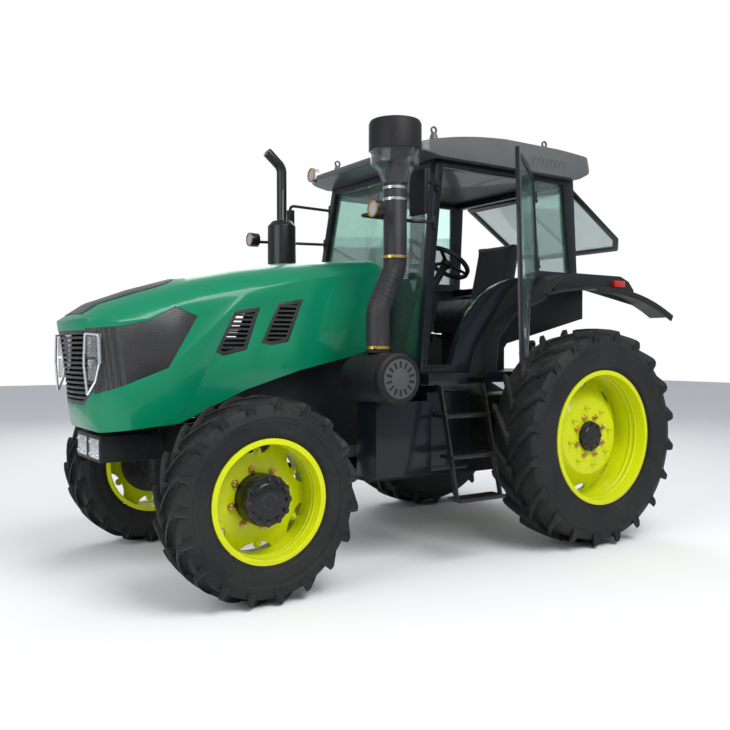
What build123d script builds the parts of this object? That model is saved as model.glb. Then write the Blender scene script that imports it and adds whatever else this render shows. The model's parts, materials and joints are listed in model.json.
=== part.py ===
from build123d import *
import os
from math import cos, pi, radians, sin, sqrt, tan

os.makedirs("parts", exist_ok=True)

# Farm tractor with a cab. Millimetres; the front faces -Y, the tractor's left is +X and up is +Z.
# The origin lies on the ground below the middle of the rear axle.

# Fits between neighbours
running_gap = 0.5
moving_gap = 6
seal_gap = 3
overlap = 2

# Wheels
wheelbase = 2700
rear_tyre_radius = 805
rear_tyre_width = 430
rear_track = 2000
rear_rim_radius = 495
rear_lug_count = 20
rear_lug_height = 42
rear_lug_width = 46
rear_disc_radius = 284
rear_disc_x = 40
rear_disc_edge_x = -100
rear_hub_radius = 110
rear_hub_length = 70
front_tyre_radius = 595
front_tyre_width = 330
front_track = 1900
front_rim_radius = 358
front_lug_count = 19
front_lug_height = 36
front_lug_width = 36
front_disc_radius = 262
front_disc_x = -25
front_disc_edge_x = -60
front_hub_radius = 146
front_hub_length = 118
lug_sweep = 13.5
flange_height = 22
rim_wall = 10
disc_thickness = 14
window_count = 8
window_width = 62
lobe_count = 6
stub_radius = 45

# Axles and steering
axle_tube_radius = 95
kingpin_x = 700
kingpin_height = 260
kingpin_radius = 28
kingpin_reach = 30
fork_arm = 60
steering_arm_length = 240
steering_arm_drop = 100
steering_arm_width = 50
ball_pin_radius = 12
tie_rod_radius = 18
tie_rod_drop = 65
axle_beam_radius = 80
pinion_radius = 70
pinion_length = 220
drive_shaft_radius = 45

# Driveline and front frame
transmission_width = 420
transmission_bottom = 470
transmission_top = 1080
transmission_front = -1420
housing_rear = 330
engine_width = 460
engine_bottom = 760
engine_top = 1520
rail_spacing = 420
rail_thickness = 36
rail_bottom = 760
rail_height = 220
bracket_width = 500
bracket_bottom = 770
bracket_top = 930
bracket_reach = 707
bracket_length = 387
tow_pin_radius = 16
radiator_width = 640
radiator_thickness = 160
radiator_top = 1640

# Hood: heights run from the rear edge, share 0, to the nose, share 1
hood_half_width = 400
hood_rear = -1442
nose_reach = 860
hood_wall = 8
hood_floor = 880
nose_lean = 7.3
chin_top = 1090
chin_bottom = 960
chin_back = 66
hood_axis_y = -1500
hood_axis_z = 2060
hood_ear_x = 240
hood_ear_width = 20
firewall_half_width = 385
firewall_thickness = 20
mask_half_width = 300
mask_border = 24
grille_slot = 16
grille_pitch = 30

# Cab
cab_floor = 1290
platform_thickness = 78
cab_half_width = 780
cab_lean = 3.3
cab_front = -1400
cab_rear = 200
cab_top = 2795
belt_height = 2005
pillar_depth = 60
beam_depth = 50
windscreen_top_y = -1190
door_hinge_y = -262
door_thickness = 30
door_rim = 44
door_open_angle = 38
hinge_offset = 34
hinge_pin_radius = 8
knuckle_radius = 13
knuckle_height = 60
glass_thickness = 6
hatch_height = 850
hatch_half_width = 620
hatch_thickness = 26
hatch_open_angle = 58
hatch_ear_x = 400
hatch_axis_reach = 40
hatch_axis_drop = 14

# Roof
roof_half_width = 760
roof_front = -1420
roof_rear = 430
roof_height = 213
roof_corner = 150
roof_lamp_x = 640
roof_lamp_radius = 60
eye_x = 640
eye_bore = 16
eye_ring = 11

# Fenders
fender_wall = 14
fender_seat = 24
fender_inner_x = 720
fender_box_x = 1000
fender_outer_x = 1200
fender_arc_radius = 1700
fender_apex = 1912
fender_rear = 789
fender_lip = 46

# Intake and exhaust
filter_radius = 164
filter_z = 1268
filter_inner_x = 560
filter_outer_x = 1050
pipe_radius = 78
pipe_x = 800
clamp_height = 22
precleaner_radius = 175
precleaner_bottom = 2539
precleaner_top = 2953
bowl_height = 165
exhaust_x = -620
muffler_radius = 112
muffler_top = 2474
muffler_bottom = 1750
stack_radius = 40
stack_wall = 4
stack_top = 2900
exhaust_cross_z = 1320

# Ladder, boxes and tank
step_top_z = 1170
step_heights = (1000, 730, 450)
step_front = -1301
step_rear = -901
step_depth = 140
ladder_rail_width = 34
ladder_rail_thickness = 14
tank_bottom = 600
tank_outer_x = 740
toolbox_outer_x = 790

# Hitch
link_pivot_y = 180
link_pivot_z = 520
link_pivot_x = 300
link_length = 900
link_end_x = 412
link_drop = 40
link_ball_radius = 14.35
link_ball_width = 45
lift_shaft_y = 150
lift_shaft_z = 1130
lift_arm_length = 420
lift_arm_angle = 20
lift_arm_x = 280
lift_arm_thickness = 24
lift_rod_x = 325
lift_rod_radius = 13
lift_pin_radius = 10
drawbar_pin_radius = 17
drawbar_thickness = 35
drawbar_width = 90
drawbar_end_y = 700
drawbar_z = 420
pto_radius = 17.5
pto_length = 80
pto_z = 700
top_link_height = 1500
top_link_bore = 13

front_axle_y = -wheelbase
rear_hub_x = rear_track / 2
front_hub_x = front_track / 2
axle_z = front_tyre_radius


def hood_y(share):
    """A place along the hood, from its rear edge at 0 to its nose at 1."""
    return hood_rear + share * (front_axle_y - nose_reach - hood_rear)


def belt_z(share):
    """A height between the cab's floor at 0 and the belt line at 1."""
    return cab_floor + share * (belt_height - cab_floor)


def prism(plane, points, depth, both=False, mode=Mode.ADD):
    """A straight-sided solid: the outline through the points, extruded from its plane."""
    with BuildSketch(plane) as outline:
        with BuildLine():
            Polyline(*points, close=True)
        make_face()
    extrude(outline.sketch, amount=depth, both=both, mode=mode)


def block(low, high, mode=Mode.ADD):
    """A rectangular solid between its lowest and highest corners."""
    size = [b - a for a, b in zip(low, high)]
    middle = [(a + b) / 2 for a, b in zip(low, high)]
    with Locations(Vector(*middle)):
        Box(*size, mode=mode)


def cylinder(plane, radius, length, both=False, mode=Mode.ADD):
    """A round solid that starts on its plane and runs along the plane's normal."""
    with BuildSketch(plane) as outline:
        Circle(radius)
    extrude(outline.sketch, amount=length, both=both, mode=mode)


def across(x, y, z):
    """A plane whose normal runs along +X, at a point of the tractor."""
    return Plane(origin=(x, y, z), x_dir=(0, 1, 0), z_dir=(1, 0, 0))


def turned(centre, points, mode=Mode.ADD):
    """A solid of revolution about a line along X through the centre: points are (x, radius)."""
    with BuildSketch(Plane(origin=centre, x_dir=(1, 0, 0), z_dir=(0, -1, 0))) as outline:
        with BuildLine():
            Polyline(*points, close=True)
        make_face()
    revolve(outline.sketch, axis=Axis(centre, (1, 0, 0)), mode=mode)


def spun(x, y, points, mode=Mode.ADD):
    """A solid of revolution about an upright line: points are (radius, height)."""
    with BuildSketch(Plane(origin=(x, y, 0), x_dir=(1, 0, 0), z_dir=(0, -1, 0))) as outline:
        with BuildLine():
            Polyline(*points, close=True)
        make_face()
    revolve(outline.sketch, axis=Axis((x, y, 0), (0, 0, 1)), mode=mode)


def bar(start, end, radius, mode=Mode.ADD):
    """A round bar between two points."""
    run = Vector(*end) - Vector(*start)
    cylinder(Plane(origin=start, z_dir=run), radius, run.length, mode=mode)


def swept(points, bend, radius, inner=0):
    """A round tube along straight runs joined by arcs."""
    with BuildLine() as path:
        FilletPolyline(*points, radius=bend)
    with BuildSketch(Plane(origin=path.line @ 0, z_dir=path.line % 0)) as section:
        Circle(radius)
        if inner:
            Circle(inner, mode=Mode.SUBTRACT)
    sweep(section.sketch, path=path.line)


def save(part, name):
    """Labels a finished piece and writes it as a node."""
    part.label = name
    export_step(part, f"parts/{name}.step")


def other_side(part):
    """The same piece on the tractor's right."""
    return mirror(part, about=Plane.YZ)


def both_sides(part):
    """The piece with its mirror image, as separate solids of one node."""
    return Compound(children=[*part.solids(), *other_side(part).solids()])


# Tyres: the lugs are the tractor's hardest feature. Each ring of the carcass has one flat for
# each lug, and a lug is a straight bar on its own tangent plane, skewed across half the tread.
def make_tyre(centre, radius, width, rim_radius, lug_count, lug_height, lug_width):
    half = width / 2
    flats = 2 * lug_count
    bead_half = half * 0.82
    tread_half = half - 12
    tread_radius = radius - lug_height
    bore_radius = rim_radius + running_gap
    corner_rise = tan(pi / flats)
    lug_shift = pi * radius * lug_sweep / 180
    lug_top = radius * cos(radians(lug_sweep / 2)) - lug_width / 16
    lug_start = lug_width / 4
    lug_span = half - lug_start
    lug_length = sqrt(lug_span**2 + lug_shift**2)
    with BuildPart() as flat:
        prism(
            Plane.XZ,
            [
                (bore_radius, -bead_half),
                (tread_radius, -tread_half),
                (tread_radius, tread_half),
                (bore_radius, bead_half),
            ],
            radius,
            both=True,
        )
        prism(
            Plane.XY,
            [(0, 0), (radius, -radius * corner_rise), (radius, radius * corner_rise)],
            half,
            both=True,
            mode=Mode.INTERSECT,
        )
    with BuildPart() as lug_pair:
        for side in (1, -1):
            angle = pi / lug_count * (1 - side) / 2
            outward = Vector(cos(angle), sin(angle), 0)
            forward = Vector(-sin(angle), cos(angle), 0)
            run = Vector(0, 0, side * lug_span) - forward * lug_shift
            crown = Plane(
                origin=Vector(0, 0, side * lug_start) + outward * lug_top + forward * lug_shift / 2,
                x_dir=run,
                z_dir=run.normalized().cross(outward),
            )
            prism(
                crown,
                [
                    (0, -1.4 * lug_height),
                    (0, 0),
                    (lug_length, 0),
                    (lug_length * 0.9, -2.8 * lug_height),
                ],
                lug_width / 2,
                both=True,
            )
    with BuildPart(across(*centre)) as tyre:
        with PolarLocations(0, flats):
            add(flat.part)
        with PolarLocations(0, lug_count):
            add(lug_pair.part)
    return tyre.part


# Rims: a barrel with its flanges and a dished disc with openings at its edge
def make_rim(centre, width, rim_radius, disc_x, disc_radius, edge_x, bore):
    bead = rim_radius - flange_height
    inner = bead - rim_wall
    edge = width / 2 * 0.82
    with BuildPart() as rim:
        turned(
            centre,
            [
                (-edge - rim_wall, inner),
                (-edge - rim_wall, rim_radius),
                (-edge, rim_radius),
                (-edge + rim_wall, bead),
                (edge - rim_wall, bead),
                (edge, rim_radius),
                (edge + rim_wall, rim_radius),
                (edge + rim_wall, inner),
            ],
        )
        turned(
            centre,
            [
                (disc_x, bore),
                (disc_x, disc_radius),
                (edge_x, inner + 1),
                (edge_x - disc_thickness * 1.5, inner + 1),
                (disc_x - disc_thickness, disc_radius - disc_thickness / 2),
                (disc_x - disc_thickness, bore),
            ],
        )
    return rim.part


def make_rear_rim():
    """The rear disc has oval openings where its cone meets the barrel."""
    inner = rear_rim_radius - flange_height - rim_wall
    with BuildPart() as rim:
        add(
            make_rim(
                rear_centre,
                rear_tyre_width,
                rear_rim_radius,
                rear_disc_x,
                rear_disc_radius,
                rear_disc_edge_x,
                rear_hub_radius + running_gap,
            )
        )
        with BuildSketch(across(*rear_centre)) as windows:
            with PolarLocations(inner - window_width, window_count):
                Ellipse(window_width * 0.55, window_width)
        extrude(windows.sketch, amount=-rear_tyre_width / 2, mode=Mode.SUBTRACT)
    return rim.part


def make_front_rim():
    """The front disc reaches the barrel with six lobes, and is open between them."""
    inner = front_rim_radius - flange_height - rim_wall
    with BuildPart() as rim:
        add(
            make_rim(
                front_centre,
                front_tyre_width,
                front_rim_radius,
                front_disc_x,
                front_disc_radius,
                front_disc_edge_x,
                front_hub_radius + running_gap,
            )
        )
        with BuildSketch(across(*front_centre)) as gaps:
            with PolarLocations(inner, lobe_count, start_angle=180 / lobe_count):
                Ellipse(front_disc_radius * 0.27, front_disc_radius * 0.42)
            Circle(inner - rim_wall / 2, mode=Mode.INTERSECT)
        extrude(gaps.sketch, amount=-front_tyre_width / 2, mode=Mode.SUBTRACT)
    return rim.part


def make_hub(centre, disc_x, radius, face_x, inner_x, shaft_end):
    back = disc_x - disc_thickness
    flange = radius * 1.5
    with BuildPart() as hub:
        turned(
            centre,
            [
                (shaft_end, 0),
                (shaft_end, stub_radius),
                (inner_x, stub_radius),
                (inner_x, radius * 0.8),
                (back - 2 * disc_thickness, radius * 0.8),
                (back - 2 * disc_thickness, flange),
                (back, flange),
                (back, radius),
                (face_x - disc_thickness, radius),
                (face_x, radius * 0.85),
                (face_x, 0),
            ],
        )
    return hub.part


rear_centre = (rear_hub_x, 0, rear_tyre_radius)
front_centre = (front_hub_x, front_axle_y, front_tyre_radius)
axle_end = 140
stub_reach = 70
carrier_end = 150
stub_hole = 10

rear_tyre = make_tyre(
    rear_centre, rear_tyre_radius, rear_tyre_width, rear_rim_radius, rear_lug_count, rear_lug_height, rear_lug_width
)
front_tyre = make_tyre(
    front_centre,
    front_tyre_radius,
    front_tyre_width,
    front_rim_radius,
    front_lug_count,
    front_lug_height,
    front_lug_width,
)
rear_rim = make_rear_rim()
front_rim = make_front_rim()
rear_hub = make_hub(
    rear_centre, rear_disc_x, rear_hub_radius, rear_hub_length, moving_gap - axle_end, -axle_end - stub_reach
)
front_hub = make_hub(
    front_centre,
    front_disc_x,
    front_hub_radius,
    front_hub_length,
    moving_gap - carrier_end,
    stub_hole - carrier_end - stub_reach / 2,
)
for side, turn in (("left", lambda part: part), ("right", other_side)):
    save(turn(rear_tyre), f"rear_tyre_{side}")
    save(turn(rear_rim), f"rear_rim_{side}")
    save(turn(rear_hub), f"rear_hub_{side}")
    save(turn(front_tyre), f"front_tyre_{side}")
    save(turn(front_rim), f"front_rim_{side}")
    save(turn(front_hub), f"front_hub_{side}")

# Steering knuckle: a swivel housing between the fork's arms, the wheel carrier and the steering arm
swivel_radius = 92
carrier_radius = 118
fork_low = axle_z - kingpin_height / 2
fork_high = axle_z + kingpin_height / 2
arm_ball = (kingpin_x, front_axle_y + steering_arm_length, axle_z - steering_arm_drop)
with BuildPart() as knuckle_left:
    cylinder(
        Plane((kingpin_x, front_axle_y, fork_low + moving_gap)), swivel_radius, kingpin_height - 2 * moving_gap
    )
    cylinder(across(kingpin_x, front_axle_y, axle_z), carrier_radius, front_hub_x - carrier_end - kingpin_x)
    block(
        (kingpin_x - steering_arm_width / 2, front_axle_y, arm_ball[2] - steering_arm_width / 3),
        (
            kingpin_x + steering_arm_width / 2,
            arm_ball[1] + steering_arm_width / 2,
            arm_ball[2] + steering_arm_width / 3,
        ),
    )
    cylinder(
        across(front_hub_x - carrier_end - stub_reach / 2, front_axle_y, axle_z),
        stub_radius + running_gap,
        stub_reach / 2,
        mode=Mode.SUBTRACT,
    )
    for z, up in ((fork_low, 1), (fork_high, -1)):
        cylinder(
            Plane(origin=(kingpin_x, front_axle_y, z), z_dir=(0, 0, up)),
            kingpin_radius + running_gap,
            kingpin_reach + overlap,
            mode=Mode.SUBTRACT,
        )
    cylinder(
        Plane((arm_ball[0], arm_ball[1], arm_ball[2] - steering_arm_width)),
        ball_pin_radius + running_gap,
        2 * steering_arm_width,
        mode=Mode.SUBTRACT,
    )
save(knuckle_left.part, "knuckle_left")
save(other_side(knuckle_left.part), "knuckle_right")

rod_z = arm_ball[2] - tie_rod_drop
with BuildPart() as tie_rod:
    bar((-arm_ball[0], arm_ball[1], rod_z), (arm_ball[0], arm_ball[1], rod_z), tie_rod_radius)
    for s in (-1, 1):
        cylinder(
            Plane((s * arm_ball[0], arm_ball[1], rod_z - ball_pin_radius)), 2 * ball_pin_radius, tie_rod_drop * 2 / 3
        )
        cylinder(Plane((s * arm_ball[0], arm_ball[1], rod_z)), ball_pin_radius, tie_rod_drop + tie_rod_radius)
save(tie_rod.part, "tie_rod")

# Front axle beam with its fork ends, pinion housing and swivel bolster
fork_reach = swivel_radius + moving_gap
fork_depth = 60
beam_end = kingpin_x - fork_reach - fork_depth / 2
casing_width = 240
casing_radius = 150
bolster_width = 180
with BuildPart() as front_axle:
    bar((-beam_end, front_axle_y, axle_z), (beam_end, front_axle_y, axle_z), axle_beam_radius)
    cylinder(across(-casing_width / 2, front_axle_y, axle_z), casing_radius, casing_width)
    cylinder(Plane(origin=(0, front_axle_y, axle_z), z_dir=(0, 1, 0)), pinion_radius, pinion_length)
    block(
        (-bolster_width / 2, front_axle_y - bolster_width / 2, axle_z),
        (bolster_width / 2, front_axle_y + bolster_width / 2, rail_bottom + rail_thickness / 2),
    )
    for s in (-1, 1):
        inner, outer = sorted((s * (kingpin_x - fork_reach - fork_depth), s * (kingpin_x - fork_reach)))
        block(
            (inner, front_axle_y - fork_depth, fork_low - fork_arm),
            (outer, front_axle_y + fork_depth, fork_high + fork_arm),
        )
        inner, outer = sorted((s * (kingpin_x - fork_reach - fork_depth), s * kingpin_x))
        for low, toward_middle in ((fork_high, -1), (fork_low - fork_arm, 1)):
            block((inner, front_axle_y - fork_depth, low), (outer, front_axle_y + fork_depth, low + fork_arm))
            cylinder(Plane((s * kingpin_x, front_axle_y, low)), fork_depth, fork_arm)
            end = fork_high if toward_middle < 0 else fork_low
            cylinder(
                Plane(origin=(s * kingpin_x, front_axle_y, end), z_dir=(0, 0, toward_middle)),
                kingpin_radius,
                kingpin_reach,
            )
save(front_axle.part, "front_axle")

# Drive shaft to the front axle
with BuildPart() as drive_shaft:
    bar((0, front_axle_y + pinion_length, axle_z), (0, transmission_front, axle_z), drive_shaft_radius)
save(drive_shaft.part, "drive_shaft")

# Engine: one plain block
engine_front = front_axle_y + 100
with BuildPart() as engine:
    block((-engine_width / 2, engine_front, engine_bottom), (engine_width / 2, transmission_front, engine_top))
save(engine.part, "engine_block")

# Transmission, rear axle housing, trumpets and power take-off
trumpet_end = rear_hub_x - axle_end
housing_radius = 235
with BuildPart() as transmission:
    block(
        (-transmission_width / 2, transmission_front, transmission_bottom),
        (transmission_width / 2, housing_rear, transmission_top),
    )
    cylinder(across(-transmission_width * 0.8, 0, rear_tyre_radius), housing_radius, transmission_width * 1.6)
    bar((-trumpet_end, 0, rear_tyre_radius), (trumpet_end, 0, rear_tyre_radius), axle_tube_radius)
    for s in (-1, 1):
        cylinder(
            Plane(origin=(s * trumpet_end, 0, rear_tyre_radius), z_dir=(-s, 0, 0)),
            stub_radius + running_gap,
            stub_reach + stub_hole,
            mode=Mode.SUBTRACT,
        )
    cylinder(Plane(origin=(0, housing_rear, pto_z), z_dir=(0, 1, 0)), pto_radius, pto_length)
save(transmission.part, "transmission")

# Front frame rails and the weight bracket
bracket_front = front_axle_y - bracket_reach
bracket_rear = bracket_front + bracket_length
rail_inner = rail_spacing / 2 - rail_thickness
with BuildPart() as front_frame:
    for s in (-1, 1):
        inner, outer = sorted((s * rail_inner, s * rail_spacing / 2))
        block((inner, bracket_rear, rail_bottom), (outer, engine_front, rail_bottom + rail_height))
    block((-bracket_width / 2, bracket_front, bracket_bottom), (bracket_width / 2, bracket_rear, bracket_top))
    block(
        (-rail_inner, front_axle_y - bolster_width * 2 / 3, rail_bottom + rail_thickness / 2),
        (rail_inner, engine_front, rail_bottom + rail_height * 2 / 3),
    )
    cylinder(
        Plane((0, bracket_front + bracket_width * 0.12, bracket_bottom)),
        tow_pin_radius,
        bracket_top - bracket_bottom,
        mode=Mode.SUBTRACT,
    )
save(front_frame.part, "front_frame")

# Radiator behind the nose
radiator_front = bracket_rear - radiator_thickness * 5 / 8
with BuildPart() as radiator:
    block(
        (-radiator_width / 2, radiator_front, rail_bottom + rail_height),
        (radiator_width / 2, radiator_front + radiator_thickness, radiator_top),
    )
save(radiator.part, "radiator")

# Hood: its sections stand across the tractor, with upright sides and a crowned top
hood_sections = [
    (1.01, 1588, 1612),
    (0.924, 1604, 1741),
    (0.811, 1641, 1830),
    (0.66, 1759, 1924),
    (0.5, 1828, 2000),
    (0.325, 1909, 2055),
    (0, 2020, 2112),
]
nose_plan = [(0, 0), (200, 20), (320, 66), (378, 150), (400, 330)]


def hood_form(inset):
    """The hood's outer form, or the space left inside it by walls of the given thickness."""
    half = hood_half_width - inset
    sections = []
    for share, crease, top in hood_sections:
        shoulder = crease + (top - crease) * 0.56 - inset
        with BuildSketch(Plane.XZ.offset(-hood_y(share) - inset)) as section:
            with BuildLine():
                Polyline((-half, crease - inset), (-half, hood_floor), (half, hood_floor), (half, crease - inset))
                Spline(
                    (half, crease - inset),
                    (half * 0.8, shoulder),
                    (0, top - inset),
                    (-half * 0.8, shoulder),
                    (-half, crease - inset),
                )
            make_face()
        sections.append(section.sketch.face())
    chin_y = hood_y(1) + (hood_sections[0][1] - chin_top) * tan(radians(nose_lean)) + inset
    with BuildPart() as form:
        loft(sections, ruled=True)
        with BuildSketch(Plane.XY.offset(hood_floor)) as plan:
            floor_y = hood_y(1) + (hood_sections[0][1] - hood_floor) * tan(radians(nose_lean)) + inset
            scale = half / hood_half_width
            outline = [(x * scale, floor_y + back) for x, back in nose_plan]
            mirrored = [(-x, y) for x, y in outline[:0:-1]]
            with BuildLine():
                Spline(*mirrored, *outline)
                Polyline(outline[-1], (half, hood_rear + hood_half_width), (-half, hood_rear + hood_half_width), mirrored[0])
            make_face()
        lean_run = Vector(0, -tan(radians(nose_lean)), 1)
        extrude(plan.sketch, amount=(2 * cab_floor - hood_floor), dir=lean_run, mode=Mode.INTERSECT)
        prism(
            Plane.YZ,
            [
                (chin_y, chin_top),
                (chin_y + chin_back, chin_bottom),
                (chin_y + chin_back, hood_floor - overlap),
                (chin_y - chin_back, hood_floor - overlap),
                (chin_y - chin_back, chin_top),
            ],
            hood_half_width + overlap,
            both=True,
            mode=Mode.SUBTRACT,
        )
    return form.part


hood_lower_edge = [(0, 1480), (0.151, 1394), (0.32, 1315), (0.511, 1193), (0.719, 1000), (0.95, 958)]
mask_side = [
    (1.05, 1566),
    (0.895, 1590),
    (0.81, 1628),
    (0.73, 1717),
    (0.663, 1660),
    (0.752, 1341),
    (0.811, 1295),
    (0.895, 1228),
    (1.05, 1120),
]
mask_front = [(-310, 1566), (310, 1566), (310, 1215), (190, 1120), (-190, 1120), (-310, 1215)]
lamp_side = [(1.05, 1545), (0.937, 1548), (0.94, 1363), (0.957, 1249), (1.05, 1165)]
vents = [
    [(0.545, 1697), (0.459, 1728), (0.506, 1450), (0.582, 1412), (0.607, 1437)],
    [(0.397, 1758), (0.308, 1791), (0.362, 1503), (0.42, 1480), (0.456, 1495)],
]


def side_prism(points, start, mode=Mode.ADD):
    """Cuts or adds a shape seen from the side, on both sides of the hood beyond a distance from the middle."""
    outline = [(hood_y(share), z) for share, z in points]
    prism(across(start, 0, 0), outline, hood_half_width, mode=mode)
    prism(across(-start, 0, 0), outline, -hood_half_width, mode=mode)


def front_prism(points, mode=Mode.ADD):
    """A shape seen from the front, through the nose alone."""
    prism(Plane.XZ.offset(-hood_y(0.86)), points, nose_reach, mode=mode)


with BuildPart() as mask:
    side_prism(mask_side, mask_half_width)
    front_prism(mask_front)
with BuildPart() as lamp_space:
    side_prism(lamp_side, mask_half_width)
with BuildPart() as vent_space:
    for vent in vents:
        side_prism(vent, mask_half_width)

hood_outer = hood_form(0)
with BuildPart() as hood:
    add(hood_outer)
    add(hood_form(hood_wall), mode=Mode.SUBTRACT)
    edge = [(hood_y(share), z) for share, z in hood_lower_edge]
    prism(
        Plane.YZ,
        [*edge, (edge[-1][0], hood_floor - overlap), (edge[0][0] + overlap, hood_floor - overlap)],
        hood_half_width + overlap,
        both=True,
        mode=Mode.SUBTRACT,
    )
    add(mask.part, mode=Mode.SUBTRACT)
    add(vent_space.part, mode=Mode.SUBTRACT)
    for s in (-1, 1):
        lug_x = hood_ear_x + hood_ear_width + hood_wall
        inner, outer = sorted((s * lug_x, s * (lug_x + hood_ear_width)))
        block(
            (inner, hood_axis_y - hood_ear_width, hood_axis_z - hood_ear_width),
            (outer, hood_axis_y + hood_ear_width, hood_axis_z + hood_ear_width),
        )
        cylinder(
            Plane(origin=(s * hood_ear_x, hood_axis_y, hood_axis_z), z_dir=(s, 0, 0)),
            hinge_pin_radius + running_gap,
            4 * hood_ear_width,
            mode=Mode.SUBTRACT,
        )
save(hood.part, "hood_shell")

# Grille: the mask round the nose and the side vents are slices of the hood's own form
slice_depth = 10
with BuildPart() as hood_grille:
    add(hood_form(seal_gap))
    add(hood_form(seal_gap + slice_depth), mode=Mode.SUBTRACT)
    with BuildPart(mode=Mode.PRIVATE) as spaces:
        add(mask.part)
        add(vent_space.part)
    add(spaces.part, mode=Mode.INTERSECT)
    add(lamp_space.part, mode=Mode.SUBTRACT)
    slot_rows = int((mask_front[0][1] - mask_front[3][1]) / grille_pitch)
    with BuildSketch(Plane.XZ.offset(-hood_y(0.86))) as slots:
        with BuildLine():
            Polyline(*mask_front, close=True)
        make_face()
        offset(amount=-mask_border, kind=Kind.INTERSECTION)
        with BuildSketch(Plane.XZ.offset(-hood_y(0.86)), mode=Mode.INTERSECT):
            with Locations((0, (mask_front[0][1] + mask_front[3][1]) / 2)):
                with GridLocations(0, grille_pitch, 1, slot_rows):
                    Rectangle(2 * mask_half_width, grille_slot)
    extrude(slots.sketch, amount=nose_reach, mode=Mode.SUBTRACT)
    for vent in vents:
        outline = [(hood_y(share), z) for share, z in vent]
        with BuildSketch(Plane.YZ) as louvres:
            with BuildLine():
                Polyline(*outline, close=True)
            make_face()
            offset(amount=-mask_border, kind=Kind.INTERSECTION)
            with BuildSketch(Plane.YZ, mode=Mode.INTERSECT):
                with Locations((outline[2][0], (outline[0][1] + outline[3][1]) / 2)):
                    with GridLocations(0, grille_pitch, 1, slot_rows):
                        Rectangle(2 * mask_half_width, grille_slot)
        extrude(louvres.sketch, amount=hood_half_width + overlap, both=True, mode=Mode.SUBTRACT)
save(hood_grille.part, "hood_grille")

lamp_depth = 45
with BuildPart() as headlamps:
    add(hood_form(1))
    add(hood_form(lamp_depth), mode=Mode.SUBTRACT)
    add(lamp_space.part, mode=Mode.INTERSECT)
save(headlamps.part, "headlamps")

# Air filter, intake pipe and precleaner
filter_y = cab_front - 365
riser_y = cab_front - 226
neck_z = filter_z + filter_radius
cover_depth = 60
with BuildPart() as air_filter:
    turned(
        (filter_inner_x, filter_y, filter_z),
        [
            (0, 0),
            (0, filter_radius * 0.86),
            (cover_depth, filter_radius),
            (filter_outer_x - filter_inner_x - cover_depth, filter_radius),
            (filter_outer_x - filter_inner_x - cover_depth, filter_radius - seal_gap),
            (filter_outer_x - filter_inner_x - cover_depth + seal_gap, filter_radius),
            (filter_outer_x - filter_inner_x - seal_gap * 4, filter_radius),
            (filter_outer_x - filter_inner_x, filter_radius * 0.9),
            (filter_outer_x - filter_inner_x, 0),
        ],
    )
save(air_filter.part, "air_filter")

pipe_bend = pipe_radius * 2.5
with BuildPart() as intake_pipe:
    swept(
        [
            (pipe_x, filter_y, neck_z + 1),
            (pipe_x, filter_y, neck_z + 270),
            (pipe_x, riser_y, neck_z + 570),
            (pipe_x, riser_y, precleaner_bottom),
        ],
        pipe_bend,
        pipe_radius,
    )
    for z in (neck_z + clamp_height, neck_z + 620):
        y = filter_y if z < neck_z + pipe_bend else riser_y
        cylinder(Plane((pipe_x, y, z)), pipe_radius + seal_gap, clamp_height)
save(intake_pipe.part, "intake_pipe")

with BuildPart() as precleaner:
    spun(
        pipe_x,
        riser_y,
        [
            (0, precleaner_bottom),
            (pipe_radius + seal_gap, precleaner_bottom),
            (precleaner_radius * 0.66, precleaner_bottom + bowl_height * 0.55),
            (precleaner_radius * 0.92, precleaner_bottom + bowl_height * 0.75),
            (precleaner_radius * 0.92, precleaner_bottom + bowl_height),
            (precleaner_radius, precleaner_bottom + bowl_height),
            (precleaner_radius, precleaner_top - clamp_height),
            (precleaner_radius * 0.94, precleaner_top),
            (0, precleaner_top),
        ],
    )
save(precleaner.part, "precleaner")

# Exhaust
exhaust_y = cab_front - 310
tip_reach = 130
exhaust_bend = stack_radius * 2.2
with BuildPart() as exhaust:
    spun(
        exhaust_x,
        exhaust_y,
        [
            (0, muffler_bottom),
            (muffler_radius * 0.7, muffler_bottom),
            (muffler_radius, muffler_bottom + stack_radius),
            (muffler_radius, muffler_top - stack_radius),
            (muffler_radius * 0.7, muffler_top),
            (0, muffler_top),
        ],
    )
    swept(
        [
            (exhaust_x, exhaust_y, muffler_top - hood_wall),
            (exhaust_x, exhaust_y, stack_top),
            (exhaust_x, exhaust_y - tip_reach, stack_top + tip_reach * 0.85),
        ],
        exhaust_bend,
        stack_radius,
        stack_radius - stack_wall,
    )
    swept(
        [
            (exhaust_x, exhaust_y, muffler_bottom + hood_wall),
            (exhaust_x, exhaust_y, exhaust_cross_z),
            (-engine_width / 2, exhaust_y, exhaust_cross_z),
        ],
        exhaust_bend,
        stack_radius,
    )
save(exhaust.part, "exhaust")

# Cab: the side frame lies in a leaning plane
lean = radians(cab_lean)
side_plane = Plane(origin=(cab_half_width, 0, cab_floor), x_dir=(0, 1, 0), z_dir=(cos(lean), 0, sin(lean)))


def side_points(points):
    """Points given as (y, z) on the cab's side, in the leaning plane's own measures."""
    return [(y, (z - cab_floor) / cos(lean)) for y, z in points]


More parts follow.
